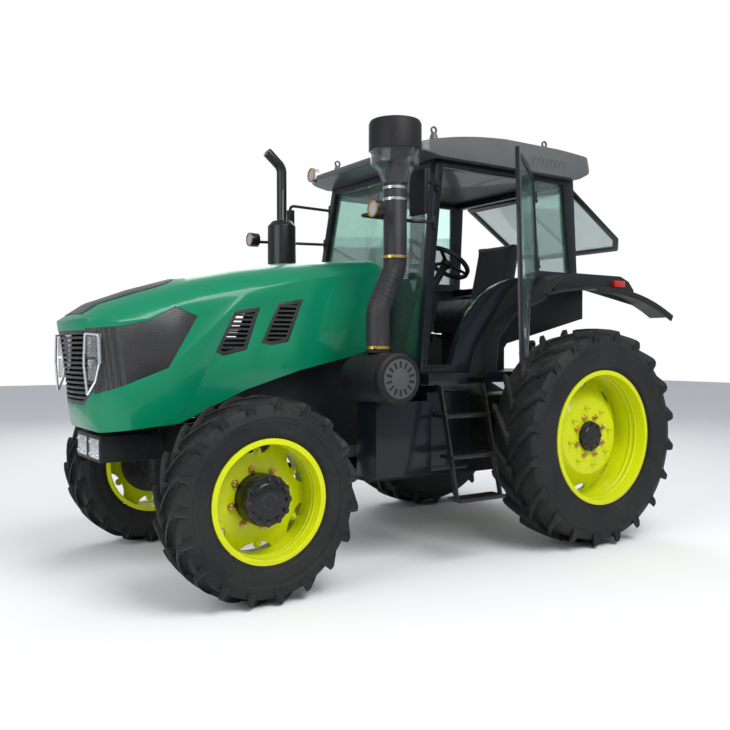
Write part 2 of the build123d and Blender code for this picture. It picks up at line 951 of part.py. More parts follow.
closed_origin = side_plane.from_local_coords((door_hinge_y, 0, hinge_offset))
door_closed = Plane(origin=closed_origin, x_dir=side_plane.x_dir, z_dir=side_plane.z_dir)
door_open = Plane(door_closed.location * Location((0, 0, 0), (0, door_open_angle, 0)))
door_hinge_heights = (belt_height - cab_floor + 85, cab_top - cab_floor - 205)
hinge_foot = 22
band_rear = [(-330, belt_z(1)), (-546, belt_z(0.843)), (-744, belt_z(0.508)), (-878, belt_z(0.273)), (-953, cab_floor)]
band_front = [
    (-310, belt_z(0.985)),
    (-660, belt_z(0.89)),
    (-930, belt_z(0.59)),
    (-1068, belt_z(0.27)),
    (-1118, belt_z(0.08)),
]
door_band = [
    (-292, belt_z(0.955)),
    (-635, belt_z(0.85)),
    (-900, belt_z(0.55)),
    (-1030, belt_z(0.24)),
    (-1074, belt_z(0.05)),
]
window_opening = [
    (-215, belt_height + beam_depth),
    (-245, cab_top - beam_depth),
    (85, cab_top - beam_depth),
    (120, belt_height + beam_depth),
]


def curved_side(plane, corners, band, depth, mode=Mode.ADD, shift=0):
    """A leaf of the cab's side: straight edges through the corners, closed by the curved band."""
    with BuildSketch(plane) as leaf:
        with BuildLine():
            curve = [(y - shift, z) for y, z in side_points(band)]
            ends = [(y - shift, z) for y, z in side_points(corners)]
            Spline(*curve)
            Polyline(curve[-1], *ends, curve[0])
        make_face()
    extrude(leaf.sketch, amount=depth, mode=mode)


with BuildPart() as side_frame:
    curved_side(
        side_plane,
        [(cab_front, cab_floor), (windscreen_top_y, cab_top), (cab_rear, cab_top), (cab_rear, belt_height)],
        band_rear,
        -pillar_depth,
    )
    curved_side(
        side_plane,
        [
            (cab_front + 62, belt_z(0.08)),
            (windscreen_top_y + 58, cab_top - beam_depth - seal_gap),
            (band_front[0][0], cab_top - beam_depth - seal_gap),
        ],
        band_front,
        -pillar_depth,
        mode=Mode.SUBTRACT,
    )
    prism(side_plane, side_points(window_opening), -pillar_depth, mode=Mode.SUBTRACT)
    split(bisect_by=Plane.XY.offset(cab_floor), keep=Keep.TOP)
    for v in door_hinge_heights:
        spot = door_closed.from_local_coords((0, v - hinge_foot, 0))
        foot = Plane(origin=spot, x_dir=door_closed.x_dir, z_dir=door_closed.y_dir)
        half_foot = knuckle_radius - 1
        prism(
            foot,
            [
                (-half_foot, -half_foot),
                (half_foot, -half_foot),
                (half_foot, hinge_offset + 1),
                (-half_foot, hinge_offset + 1),
            ],
            hinge_foot - overlap,
        )
        cylinder(foot, hinge_pin_radius, knuckle_height + hinge_foot)

top_x = cab_half_width - (cab_top - cab_floor) * tan(lean)
belt_x = cab_half_width - (belt_height - cab_floor) * tan(lean)
hatch_axis = (0, cab_rear + hatch_axis_reach, cab_top - hatch_axis_drop)
beam_x = top_x - pillar_depth / 2
ear_width = hood_ear_width
with BuildPart() as cab_frame:
    add(side_frame.part)
    add(other_side(side_frame.part))
    block(
        (-beam_x, windscreen_top_y, cab_top - beam_depth), (beam_x, windscreen_top_y + pillar_depth, cab_top)
    )
    block((-beam_x, cab_rear - pillar_depth, cab_top - beam_depth), (beam_x, cab_rear, cab_top))
    block(
        (-cab_half_width + beam_depth, cab_front, cab_floor),
        (cab_half_width - beam_depth, cab_front + pillar_depth, cab_floor + pillar_depth),
    )
    block(
        (-belt_x + pillar_depth / 2, cab_rear - pillar_depth, belt_height - pillar_depth),
        (belt_x - pillar_depth / 2, cab_rear, belt_height),
    )
    block(
        (-firewall_half_width, cab_front - firewall_thickness, cab_floor),
        (firewall_half_width, cab_front, hood_axis_z - 1.5 * hood_ear_width),
    )
    for s in (-1, 1):
        prism(
            across(s * (hood_ear_x + ear_width / 2) - ear_width / 2, 0, 0),
            [
                (cab_front - firewall_thickness + 1, hood_axis_z - 7 * ear_width),
                (cab_front - firewall_thickness + 1, hood_axis_z - 4 * ear_width),
                (hood_axis_y + ear_width / 2, hood_axis_z + 0.6 * ear_width),
                (hood_axis_y - 0.6 * ear_width, hood_axis_z + 0.6 * ear_width),
                (hood_axis_y - 0.75 * ear_width, hood_axis_z - 0.75 * ear_width),
            ],
            ear_width,
        )
        cylinder(
            Plane(origin=(s * hood_ear_x, hood_axis_y, hood_axis_z), z_dir=(s, 0, 0)),
            hinge_pin_radius,
            3 * ear_width,
        )
        inner, outer = sorted((s * hatch_ear_x, s * (hatch_ear_x + ear_width)))
        block(
            (inner, cab_rear - ear_width / 2, cab_top - 1.5 * ear_width),
            (outer, hatch_axis[1] + knuckle_radius - 1, cab_top - 1),
        )
        cylinder(Plane(origin=(s * hatch_ear_x, *hatch_axis[1:]), z_dir=(s, 0, 0)), hinge_pin_radius, 3 * ear_width)
save(cab_frame.part, "cab_frame")

# Platform
platform_half = cab_half_width - pillar_depth
landing_x = 850
landing_rear = cab_front + 368
platform_low = cab_floor - platform_thickness
with BuildPart() as platform:
    block((-platform_half, cab_front + 20, platform_low), (platform_half, cab_rear, cab_floor))
    block((-landing_x, cab_front + 21, platform_low), (landing_x, landing_rear, cab_floor))
save(platform.part, "cab_floor")

# Roof: a side profile drawn in to rounded corners and sloping flanks, with fins along the rear
fin_count = 9
fin_pitch = 46
fin_width = 16
roof_lamp_z = cab_top + 85
lamp_face_y = roof_front + 40
eye_places = ((-1172, cab_top + 160), (-70, cab_top + 211))
with BuildPart() as roof:
    with BuildSketch(Plane.YZ) as roof_side:
        with BuildLine():
            Polyline(
                (roof_front, cab_top + 70),
                (roof_front + 20, cab_top + 35),
                (roof_front + 220, cab_top),
                (cab_rear, cab_top),
                (cab_rear + 120, cab_top + 55),
                (roof_rear, cab_top + 165),
                (roof_rear - 12, cab_top + 185),
            )
            Spline((roof_rear - 12, cab_top + 185), (0, cab_top + roof_height), (-700, cab_top + 203), (roof_front, cab_top + 70))
        make_face()
    extrude(roof_side.sketch, amount=roof_half_width, both=True)
    with BuildSketch(Plane.XY.offset(cab_top)) as roof_plan:
        with Locations((0, (roof_front + roof_rear) / 2)):
            RectangleRounded(2 * roof_half_width, roof_rear - roof_front, roof_corner)
    extrude(roof_plan.sketch, amount=roof_height, taper=9, mode=Mode.INTERSECT)
    for s in (-1, 1):
        cylinder(
            Plane(origin=(s * roof_lamp_x, lamp_face_y, roof_lamp_z), z_dir=(0, -1, 0)),
            roof_lamp_radius + 1,
            fin_pitch * 4,
            mode=Mode.SUBTRACT,
        )
        for number in range(fin_count):
            y = -380 + number * fin_pitch
            inner, outer = sorted((s * (roof_half_width - fin_pitch), s * (roof_half_width - 2)))
            prism(
                across(inner, 0, 0),
                [(y, cab_top + 1), (y + fin_width, cab_top + 1), (y + fin_width + 60, cab_top + 118), (y + 60, cab_top + 118)],
                outer - inner,
            )
        for y, z in eye_places:
            with BuildSketch(Plane((s * eye_x, y, z - fin_pitch))) as foot:
                Circle(eye_bore * 2.6)
            extrude(foot.sketch, amount=fin_pitch + 2 * fin_width, taper=16)
            ring = across(s * eye_x - eye_ring / 2, y, z + eye_bore * 3)
            cylinder(ring, eye_bore + eye_ring, eye_ring)
            cylinder(ring, eye_bore, eye_ring, mode=Mode.SUBTRACT)
save(roof.part, "roof")

# Doors, drawn on a plane that turns about the hinge line
door_sill = moving_gap - hinge_offset
door_low = belt_z(0.05)
door_high = cab_top - beam_depth + 12


def door_outline(inset):
    """The corners and the curved edge of the leaf, or of the pane inside a rim of the given width."""
    slant = inset * 0.7
    corners = [
        (cab_front + 45 + inset, door_low + inset),
        (windscreen_top_y + 32 + inset, door_high - inset),
        (door_band[0][0] - inset, door_high - inset),
    ]
    band = [
        (door_band[0][0] - inset, door_band[0][1]),
        *[(y - slant, z + slant) for y, z in door_band[1:-1]],
        (door_band[-1][0] - inset, door_low + inset),
    ]
    return corners, band


def make_door(plane):
    with BuildPart() as door:
        leaf = plane.offset(door_sill)
        curved_side(leaf, *door_outline(0), door_thickness, shift=door_hinge_y)
        curved_side(leaf, *door_outline(door_rim), door_thickness, mode=Mode.SUBTRACT, shift=door_hinge_y)
        for v in door_hinge_heights:
            spot = plane.from_local_coords((0, v, 0))
            barrel = Plane(origin=spot, x_dir=plane.x_dir, z_dir=plane.y_dir)
            cylinder(barrel, knuckle_radius, knuckle_height)
            prism(barrel, [(0, -6), (-door_rim, -6), (-door_rim, 10), (0, 10)], knuckle_height)
            cylinder(barrel, hinge_pin_radius + running_gap, knuckle_height, mode=Mode.SUBTRACT)
    return door.part


def make_door_glass(plane):
    with BuildPart() as glass:
        pane = plane.offset(door_sill + door_thickness / 2)
        curved_side(pane, *door_outline(door_rim), glass_thickness, shift=door_hinge_y)
    return glass.part


save(make_door(door_open), "door_left")
save(make_door_glass(door_open), "door_left_glass")
save(other_side(make_door(door_closed)), "door_right")
save(other_side(make_door_glass(door_closed)), "door_right_glass")

# Rear window, hinged at its top edge
hatch_closed = Plane(origin=hatch_axis, x_dir=(1, 0, 0), z_dir=(0, 1, 0))
hatch_open = Plane(hatch_closed.location * Location((0, 0, 0), (hatch_open_angle, 0, 0)))
hatch_leaf = hatch_open.offset(moving_gap - hatch_axis_reach)
hatch_top = 18
hatch_corner = (90, 130)
hatch_outline = [
    (-hatch_half_width, hatch_top),
    (hatch_half_width, hatch_top),
    (hatch_half_width, hatch_height - hatch_corner[1]),
    (hatch_half_width - hatch_corner[0], hatch_height),
    (-hatch_half_width + hatch_corner[0], hatch_height),
    (-hatch_half_width, hatch_height - hatch_corner[1]),
]
hatch_barrel = 38
with BuildPart() as rear_window:
    with BuildSketch(hatch_leaf) as rim:
        with BuildLine():
            Polyline(*hatch_outline, close=True)
        make_face()
        offset(amount=-door_rim, mode=Mode.SUBTRACT)
    extrude(rim.sketch, amount=hatch_thickness)
    for s in (-1, 1):
        spot = Plane(
            origin=(s * (hatch_ear_x + hood_ear_width + overlap), *hatch_axis[1:]),
            x_dir=hatch_open.y_dir,
            z_dir=(s, 0, 0),
        )
        cylinder(spot, knuckle_radius, hatch_barrel)
        prism(spot, [(0, -8), (hatch_axis_reach, -8), (hatch_axis_reach, 8), (0, 8)], hatch_barrel)
        cylinder(spot, hinge_pin_radius + running_gap, hatch_barrel, mode=Mode.SUBTRACT)
save(rear_window.part, "rear_window")
with BuildPart() as rear_window_glass:
    with BuildSketch(hatch_leaf.offset(hatch_thickness / 2)) as pane:
        with BuildLine():
            Polyline(*hatch_outline, close=True)
        make_face()
        offset(amount=-door_rim, mode=Mode.REPLACE)
    extrude(pane.sketch, amount=glass_thickness)
save(rear_window_glass.part, "rear_window_glass")

# Fixed glass: the windscreen and the two rear side windows
with BuildPart() as side_glass:
    prism(side_plane.offset(-pillar_depth / 2), side_points(window_opening), glass_thickness)
screen_low = Vector(0, cab_front + 40, cab_floor + pillar_depth)
screen_high = Vector(0, windscreen_top_y + pillar_depth / 2, cab_top - beam_depth - seal_gap)
rise = screen_high - screen_low
screen_plane = Plane(origin=screen_low, x_dir=(1, 0, 0), z_dir=(0, -rise.Z, rise.Y))
low_half = cab_half_width - pillar_depth - 5 * seal_gap
high_half = top_x - pillar_depth - 4 * seal_gap
with BuildPart() as windscreen:
    prism(
        screen_plane,
        [(-low_half, 0), (low_half, 0), (high_half, rise.length), (-high_half, rise.length)],
        glass_thickness,
    )
cab_glass = Compound(children=[*both_sides(side_glass.part).solids(), windscreen.part.solid()])
save(cab_glass, "cab_glass")

# Dash console, steering column and wheel
wheel_centre = Vector(0, -525, 2161)
column_tilt = radians(35)
column_axis = Vector(0, sin(column_tilt), cos(column_tilt))
console_half_width = 230
column_radius = 32
boss_radius = 45
boss_gap = 40
wheel_radius = 205
wheel_grip = 14
with BuildPart() as dash:
    with BuildSketch(Plane.YZ) as console_side:
        with BuildLine():
            Polyline(
                (-1210, belt_z(0.9)),
                (cab_front + 110, belt_z(0.3)),
                (cab_front + 110, cab_floor),
                (-930, cab_floor),
                (-860, belt_z(0.43)),
                (-790, belt_z(0.78)),
            )
            Spline((-790, belt_z(0.78)), (-880, belt_z(0.93)), (-1040, belt_z(0.985)), (-1210, belt_z(0.9)))
        make_face()
    extrude(console_side.sketch, amount=console_half_width, both=True)
    bar(
        tuple(wheel_centre - column_axis * 560),
        tuple(wheel_centre - column_axis * boss_gap),
        column_radius,
    )
save(dash.part, "dash")
wheel_plane = Plane(origin=wheel_centre, z_dir=column_axis)
with BuildPart() as steering_wheel:
    with BuildSketch(wheel_plane) as rim_ring:
        Circle(wheel_radius)
        Circle(wheel_radius - 2 * wheel_grip, mode=Mode.SUBTRACT)
    extrude(rim_ring.sketch, amount=wheel_grip, both=True)
    with BuildSketch(wheel_plane) as spokes:
        Circle(boss_radius)
        with PolarLocations(0, 3, start_angle=90):
            with Locations((wheel_radius / 2, 0)):
                Rectangle(wheel_radius - 2 * wheel_grip, 2 * wheel_grip)
    extrude(spokes.sketch, amount=wheel_grip / 2, both=True)
    cylinder(Plane(origin=wheel_centre, z_dir=-column_axis), boss_radius, boss_gap - moving_gap)
save(steering_wheel.part, "steering_wheel")

# Seat
seat_y = -250
seat_low = cab_floor + 300
seat_high = cab_floor + 400
cushion_top = cab_floor + 540
back_top = cab_floor + 1055
with BuildPart() as seat_base:
    block((-190, seat_y - 170, cab_floor), (190, seat_y + 190, seat_low))
    block((-220, seat_y - 230, seat_low), (220, seat_y + 230, seat_high))
save(seat_base.part, "seat_base")
with BuildPart() as seat_cushions:
    block((-240, seat_y - 250, seat_high), (240, seat_y + 220, cushion_top))
    prism(
        Plane.YZ,
        [
            (seat_y + 160, cushion_top + 1),
            (seat_y + 260, cushion_top + 1),
            (seat_y + 360, back_top - 5),
            (seat_y + 270, back_top + 5),
        ],
        230,
        both=True,
    )
save(seat_cushions.part, "seat_cushions")

# Fenders: an inner wall against the cab, a raised box over the axle and an outer arched blade
box_top = belt_height + 17
box_profile = [
    (-806, cab_floor + 10),
    (-779, belt_z(0.343)),
    (-632, belt_z(0.578)),
    (-451, belt_z(0.738)),
    (-330, belt_z(0.895)),
    (-230, belt_height),
    (-100, box_top),
    (400, box_top),
    (500, belt_z(0.972)),
    (560, belt_z(0.881)),
]
arc_centre_z = fender_apex - fender_arc_radius
blade_front = -420
fender_low = cab_floor - 40


def arc_height(y):
    """Height of the outer blade's crown at a place along the tractor."""
    return arc_centre_z + sqrt(fender_arc_radius**2 - y**2)


with BuildPart() as fender_left:
    with BuildSketch(Plane.YZ.offset(fender_inner_x)) as inner_wall:
        with BuildLine():
            Spline(
                (-940, fender_low),
                (-868, belt_z(0.277)),
                (-734, belt_z(0.512)),
                (-536, belt_z(0.849)),
                (-325, belt_height - fender_wall / 2),
            )
            Polyline(
                (-325, belt_height - fender_wall / 2),
                (cab_rear + 60, belt_height - fender_wall / 2),
                (cab_rear + 60, belt_z(0.57)),
                (-560, belt_z(0.29)),
                (-760, fender_low),
                (-940, fender_low),
            )
        make_face()
    extrude(inner_wall.sketch, amount=fender_seat)
    with BuildSketch(Plane.YZ.offset(fender_inner_x + fender_seat - overlap)) as box_strip:
        with BuildLine():
            Polyline(*box_profile)
            offset(amount=fender_wall, side=Side.RIGHT)
        make_face()
    extrude(box_strip.sketch, amount=fender_box_x - fender_inner_x - fender_seat + overlap)
    with BuildSketch(Plane.YZ.offset(fender_box_x - fender_wall)) as blade:
        with BuildLine():
            ThreePointArc(
                (blade_front, arc_height(blade_front)), (0, fender_apex), (fender_rear, arc_height(fender_rear))
            )
            offset(amount=fender_wall, side=Side.RIGHT)
        make_face()
    extrude(blade.sketch, amount=fender_outer_x - fender_box_x + fender_wall)
    with BuildSketch(Plane.YZ.offset(fender_outer_x - fender_wall)) as lip:
        with BuildLine():
            ThreePointArc(
                (blade_front, arc_height(blade_front)), (0, fender_apex), (fender_rear, arc_height(fender_rear))
            )
            offset(amount=fender_lip, side=Side.RIGHT)
        make_face()
    extrude(lip.sketch, amount=fender_wall)
    prism(
        Plane.YZ.offset(fender_box_x - fender_wall),
        [
            (-330, arc_height(-330) - fender_wall),
            *box_profile[4:],
            (560, arc_height(560) - fender_wall),
            (0, fender_apex - fender_wall),
        ],
        fender_wall,
    )
    with BuildSketch(Plane.XY.offset(fender_low - overlap)) as plan:
        with BuildLine():
            Polyline(
                (fender_outer_x, 40),
                (fender_outer_x, fender_rear + fender_lip),
                (fender_inner_x - 1, fender_rear + fender_lip),
                (fender_inner_x - 1, -960),
                (880, -960),
                (895, -560),
            )
            Spline((895, -560), (1010, -430), (1120, -270), (fender_outer_x, 40))
        make_face()
    extrude(plan.sketch, amount=belt_height, mode=Mode.INTERSECT)
save(both_sides(fender_left.part), "fenders")

# Lamps
tail_lamp_low = belt_height - 70
with BuildPart() as tail_lamp:
    block((fender_box_x, 300, tail_lamp_low), (fender_box_x + 30, 420, tail_lamp_low + 50))
save(both_sides(tail_lamp.part), "tail_lamps")
with BuildPart() as work_lamp:
    turned_plane = Plane(origin=(roof_lamp_x, lamp_face_y, roof_lamp_z), z_dir=(0, -1, 0))
    cylinder(turned_plane, roof_lamp_radius, 44)
save(both_sides(work_lamp.part), "work_lamps")

# Lamp arms and mirrors, bolted to the front pillars
arm_radius = 12
arm_lamp_radius = 57
arm_lamp_depth = 70
arm_lamp = (885, cab_front - 444, 2350)
arm_z = arm_lamp[2] - 15
pad_half_width = 14
pad_half_height = 40


def pillar_pad(z):
    """A bolting pad on the front pillar and the point where its arm begins."""
    y = cab_front + (z - cab_floor) * (windscreen_top_y - cab_front) / (cab_top - cab_floor) + pad_half_width + 3
    v = (z - cab_floor) / cos(lean)
    prism(
        side_plane,
        [
            (y - pad_half_width, v - pad_half_height),
            (y + pad_half_width, v - pad_half_height),
            (y + pad_half_width, v + pad_half_height),
            (y - pad_half_width, v + pad_half_height),
        ],
        20,
    )
    return tuple(side_plane.from_local_coords((y, v, 20)))


def arm_lamp_body():
    cylinder(
        Plane(origin=(arm_lamp[0], arm_lamp[1] + arm_lamp_depth * 0.7, arm_lamp[2]), z_dir=(0, -1, 0)),
        arm_lamp_radius,
        arm_lamp_depth,
    )


with BuildPart() as lamp_arm_left:
    start = pillar_pad(arm_z)
    inner_x = pipe_x - pipe_radius - 30
    swept(
        [
            start,
            (inner_x, start[1] - 160, arm_z),
            (inner_x, arm_lamp[1] + 20, arm_z),
            (arm_lamp[0] - 35, arm_lamp[1] + 20, arm_z),
        ],
        30,
        arm_radius,
    )
    arm_lamp_body()
with BuildPart() as lamp_arm_right:
    start = pillar_pad(arm_z)
    bar(start, (arm_lamp[0], arm_lamp[1] + 30, arm_z), arm_radius)
    arm_lamp_body()
save(
    Compound(children=[*lamp_arm_left.part.solids(), *other_side(lamp_arm_right.part).solids()]),
    "lamp_arms",
)

mirror_y = cab_front - 40
mirror_low = 2365
mirror_thickness = 40
mirror_right_x = 1100
with BuildPart() as mirror_left:
    start = pillar_pad(2600)
    bar(start, (790, mirror_y + mirror_thickness, 2600), arm_radius)
    with BuildSketch(Plane((790, mirror_y + mirror_thickness / 2, mirror_low))) as shell:
        RectangleRounded(180, mirror_thickness, mirror_thickness * 0.4)
    extrude(shell.sketch, amount=295)
with BuildPart() as mirror_right:
    start = pillar_pad(2620)
    swept(
        [
            start,
            (mirror_right_x - 60, mirror_y + 70, 2690),
            (mirror_right_x, mirror_y + 70, 2690),
            (mirror_right_x, mirror_y + 70, 2480),
        ],
        30,
        arm_radius,
    )
    with BuildSketch(Plane((mirror_right_x, mirror_y + mirror_thickness, mirror_low - 15))) as shell:
        RectangleRounded(180, 60, mirror_thickness * 0.4)
    extrude(shell.sketch, amount=300)
save(
    Compound(children=[*mirror_left.part.solids(), *other_side(mirror_right.part).solids()]),
    "mirrors",
)

# Steps: three treads between leaning rails, hung under the landing
lean_out = 200 / (step_top_z - step_heights[-1])
tread_thickness = 24
hanger_depth = 40
with BuildPart() as ladder:
    rail_high = platform_low - seal_gap
    rail_bend = landing_x + ladder_rail_width
    foot = (landing_x + (step_top_z - step_heights[-1]) * lean_out, step_heights[-1] - tread_thickness / 2)
    for y in (step_front, step_rear - ladder_rail_thickness):
        prism(
            Plane.XZ.offset(-y),
            [
                (landing_x - hanger_depth, rail_high),
                (rail_bend, rail_high),
                (foot[0] + ladder_rail_width / 2, foot[1]),
                (foot[0] - ladder_rail_width / 2, foot[1]),
                (rail_bend - ladder_rail_width, rail_high - ladder_rail_width),
                (landing_x - hanger_depth, rail_high - ladder_rail_width),
            ],
            -ladder_rail_thickness,
        )
    for z in step_heights:
        x = landing_x + (step_top_z - z) * lean_out
        block(
            (x - step_depth * 0.7, step_front, z - tread_thickness / 2),
            (x + step_depth * 0.3, step_rear, z + tread_thickness / 2),
        )
    block((landing_x - hanger_depth, step_front, platform_low - hanger_depth), (landing_x, step_rear, platform_low))
save(both_sides(ladder.part), "steps")

# Fuel tanks under the cab, with the saddles that carry them
tank_top = platform_low - 20
tank_corner = 45
with BuildPart() as tank:
    with BuildSketch(Plane.XZ.offset(1310)) as tank_section:
        with Locations(((320 + tank_outer_x) / 2, (tank_bottom + tank_top) / 2)):
            RectangleRounded(tank_outer_x - 320, tank_top - tank_bottom, tank_corner)
    extrude(tank_section.sketch, amount=-390)
    block((transmission_width / 2, -1250, 800), (320 + overlap, -980, 900))
save(both_sides(tank.part), "fuel_tanks")

# Box ahead of the ladder; the air filter lies on it
box_high = filter_z - filter_radius - 4
with BuildPart() as toolbox:
    block((filter_inner_x, -1770, tank_bottom), (toolbox_outer_x, -1310, box_high))
    block((600, -1770, box_high), (760, -1660, box_high + 60))
    cylinder(
        across(filter_inner_x, filter_y, filter_z),
        filter_radius,
        filter_outer_x - filter_inner_x,
        mode=Mode.SUBTRACT,
    )
save(toolbox.part, "toolbox")

# Drawbar
drawbar_low = drawbar_z - drawbar_thickness / 2
drawbar_high = drawbar_z + drawbar_thickness / 2
with BuildPart() as drawbar:
    block((-drawbar_width / 2, 60, drawbar_low), (drawbar_width / 2, drawbar_end_y, drawbar_high))
    block((-70, 120, drawbar_high), (70, 260, transmission_bottom))
    cylinder(
        Plane((0, drawbar_end_y - 40, drawbar_low)), drawbar_pin_radius, drawbar_thickness, mode=Mode.SUBTRACT
    )
save(drawbar.part, "drawbar")

# Three-point linkage
link_end = (link_end_x, link_pivot_y + link_length, link_pivot_z - link_drop)
link_pin_radius = 18
with BuildPart() as lower_link:
    run = Vector(*link_end) - Vector(link_pivot_x, link_pivot_y, link_pivot_z)
    link_plane = Plane(origin=(link_pivot_x, link_pivot_y, link_pivot_z), x_dir=(1, 0, 0), z_dir=run)
    with BuildSketch(link_plane) as section:
        Rectangle(24, 70)
    extrude(section.sketch, amount=run.length)
    cylinder(across(link_pivot_x - 18, link_pivot_y, link_pivot_z), 42, 36)
    cylinder(across(link_end_x - link_ball_width / 2, *link_end[1:]), 40, link_ball_width)
    cylinder(across(link_pivot_x - 40, link_pivot_y, link_pivot_z), link_pin_radius + running_gap, 90, mode=Mode.SUBTRACT)
    cylinder(across(link_end_x - 40, *link_end[1:]), link_ball_radius, 90, mode=Mode.SUBTRACT)
save(both_sides(lower_link.part), "lower_links")

arm_end = (
    lift_shaft_y + lift_arm_length * cos(radians(lift_arm_angle)),
    lift_shaft_z - lift_arm_length * sin(radians(lift_arm_angle)),
)
lift_shaft_radius = 30
with BuildPart() as lift_arm:
    prism(
        Plane.YZ.offset(lift_arm_x),
        [
            (lift_shaft_y - 20, lift_shaft_z - 60),
            (arm_end[0] + 10, arm_end[1] - 28),
            (arm_end[0] + 30, arm_end[1] + 10),
            (lift_shaft_y + 20, lift_shaft_z + 60),
            (lift_shaft_y - 50, lift_shaft_z + 30),
        ],
        lift_arm_thickness,
    )
    cylinder(across(lift_arm_x + lift_arm_thickness, *arm_end), lift_pin_radius, 40)
    cylinder(
        across(lift_arm_x - 10, lift_shaft_y, lift_shaft_z),
        lift_shaft_radius + running_gap,
        60,
        mode=Mode.SUBTRACT,
    )
save(both_sides(lift_arm.part), "lift_arms")

rod_low = (650, 500)
rod_eye_radius = 24
rod_eye_width = 28
with BuildPart() as lift_rod:
    bar((lift_rod_x, *arm_end), (lift_rod_x, *rod_low), lift_rod_radius)
    for y, z in (arm_end, rod_low):
        cylinder(across(lift_rod_x - rod_eye_width / 2, y, z), rod_eye_radius, rod_eye_width)
    for y, z in (arm_end, rod_low):
        cylinder(across(lift_rod_x - 20, y, z), lift_pin_radius + running_gap, 40, mode=Mode.SUBTRACT)
save(both_sides(lift_rod.part), "lift_rods")

top_link_y = housing_rear + 112
with BuildPart() as top_link:
    block((-25, housing_rear, 880), (25, housing_rear + 70, 960))
    bar((0, housing_rear + 40, 950), (0, top_link_y - 2, top_link_height - 20), 17)
    cylinder(across(-25, top_link_y, top_link_height), 36, 50)
    cylinder(across(-25, top_link_y, top_link_height), top_link_bore, 50, mode=Mode.SUBTRACT)
save(top_link.part, "top_link")
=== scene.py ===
import json
from math import cos, pi, radians, sin

import bmesh
import bpy
from mathutils import Matrix, Vector


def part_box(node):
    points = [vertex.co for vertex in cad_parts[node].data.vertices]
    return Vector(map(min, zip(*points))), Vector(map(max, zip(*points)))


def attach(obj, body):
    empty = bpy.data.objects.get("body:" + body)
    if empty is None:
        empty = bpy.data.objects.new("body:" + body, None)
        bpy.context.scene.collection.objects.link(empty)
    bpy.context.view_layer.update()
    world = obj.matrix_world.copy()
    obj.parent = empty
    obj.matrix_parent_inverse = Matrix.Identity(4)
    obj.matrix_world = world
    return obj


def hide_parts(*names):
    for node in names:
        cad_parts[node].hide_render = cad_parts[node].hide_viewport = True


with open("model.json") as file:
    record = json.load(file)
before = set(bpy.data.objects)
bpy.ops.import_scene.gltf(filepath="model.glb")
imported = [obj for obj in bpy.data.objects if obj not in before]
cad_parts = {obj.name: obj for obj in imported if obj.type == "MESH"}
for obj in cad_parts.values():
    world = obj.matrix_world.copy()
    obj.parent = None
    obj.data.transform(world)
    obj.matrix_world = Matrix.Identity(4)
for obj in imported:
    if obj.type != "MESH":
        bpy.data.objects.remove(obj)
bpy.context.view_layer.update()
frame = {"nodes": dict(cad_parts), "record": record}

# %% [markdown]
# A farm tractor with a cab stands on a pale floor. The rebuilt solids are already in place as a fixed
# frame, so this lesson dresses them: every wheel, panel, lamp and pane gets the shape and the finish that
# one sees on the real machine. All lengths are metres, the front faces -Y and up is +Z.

scene = bpy.context.scene

# %% [markdown]
# The camera comes first, because it decides which details are worth modelling. It stands as high as the
# eyes of a person of middle height, a little in front of the nose on the left, and looks almost level.

# %% Camera
camera_place = (5.207, -4.836, 1.452)
camera_turn = 56.02
camera_dip = 1.07
lens = 40.52
camera_data = bpy.data.cameras.new("view")
camera_data.lens = lens
camera_data.sensor_width = 36
camera = bpy.data.objects.new("view", camera_data)
scene.collection.objects.link(camera)
camera.location = camera_place
camera.rotation_euler = (radians(90 - camera_dip), 0, radians(camera_turn))
scene.camera = camera
scene.view_settings.view_transform = "Standard"
print("camera", camera_place, "lens", lens)

# %% [markdown]
# A studio is a pale floor and large soft lamps. Big lamps give the long soft highlights that show the
# crown of the hood. The world is white for the camera and paler grey for the light it sheds, so the
# background stays clean while the paint keeps its colour.


# %% Nodes: small helpers to build a material
def new_material(name):
    """An empty material with its Principled shader, and the node tree."""
    material = bpy.data.materials.new(name)
    material.use_nodes = True
    tree = material.node_tree
    shader = tree.nodes["Principled BSDF"]
    return material, tree, shader


def add_node(tree, kind, **settings):
    """A node of a kind, with its settings and plain input values."""
    node = tree.nodes.new(kind)
    for key, value in settings.items():
        if hasattr(node, key):
            setattr(node, key, value)
        else:
            node.inputs[key.replace("_", " ")].default_value = value
    return node


# %% World, floor and lamps
world = bpy.data.worlds.new("studio")
scene.world = world
world.use_nodes = True
world_tree = world.node_tree
sky = world_tree.nodes["Background"]
sky.inputs["Color"].default_value = (0.86, 0.9, 0.96, 1)
sky.inputs["Strength"].default_value = 0.55
white = add_node(world_tree, "ShaderNodeBackground")
white.inputs["Color"].default_value = (1, 1, 1, 1)
path = add_node(world_tree, "ShaderNodeLightPath")
pick = add_node(world_tree, "ShaderNodeMixShader")
world_tree.links.new(path.outputs["Is Camera Ray"], pick.inputs[0])
world_tree.links.new(sky.outputs[0], pick.inputs[1])
world_tree.links.new(white.outputs[0], pick.inputs[2])
world_tree.links.new(pick.outputs[0], world_tree.nodes["World Output"].inputs[0])

bpy.ops.mesh.primitive_plane_add(size=60, location=(0, -1.3, 0))
floor = bpy.context.object
floor.name = "floor"
floor_material, _, floor_shader = new_material("pale floor")
floor_shader.inputs["Base Color"].default_value = (0.86, 0.86, 0.86, 1)
floor_shader.inputs["Roughness"].default_value = 0.9
floor.data.materials.append(floor_material)


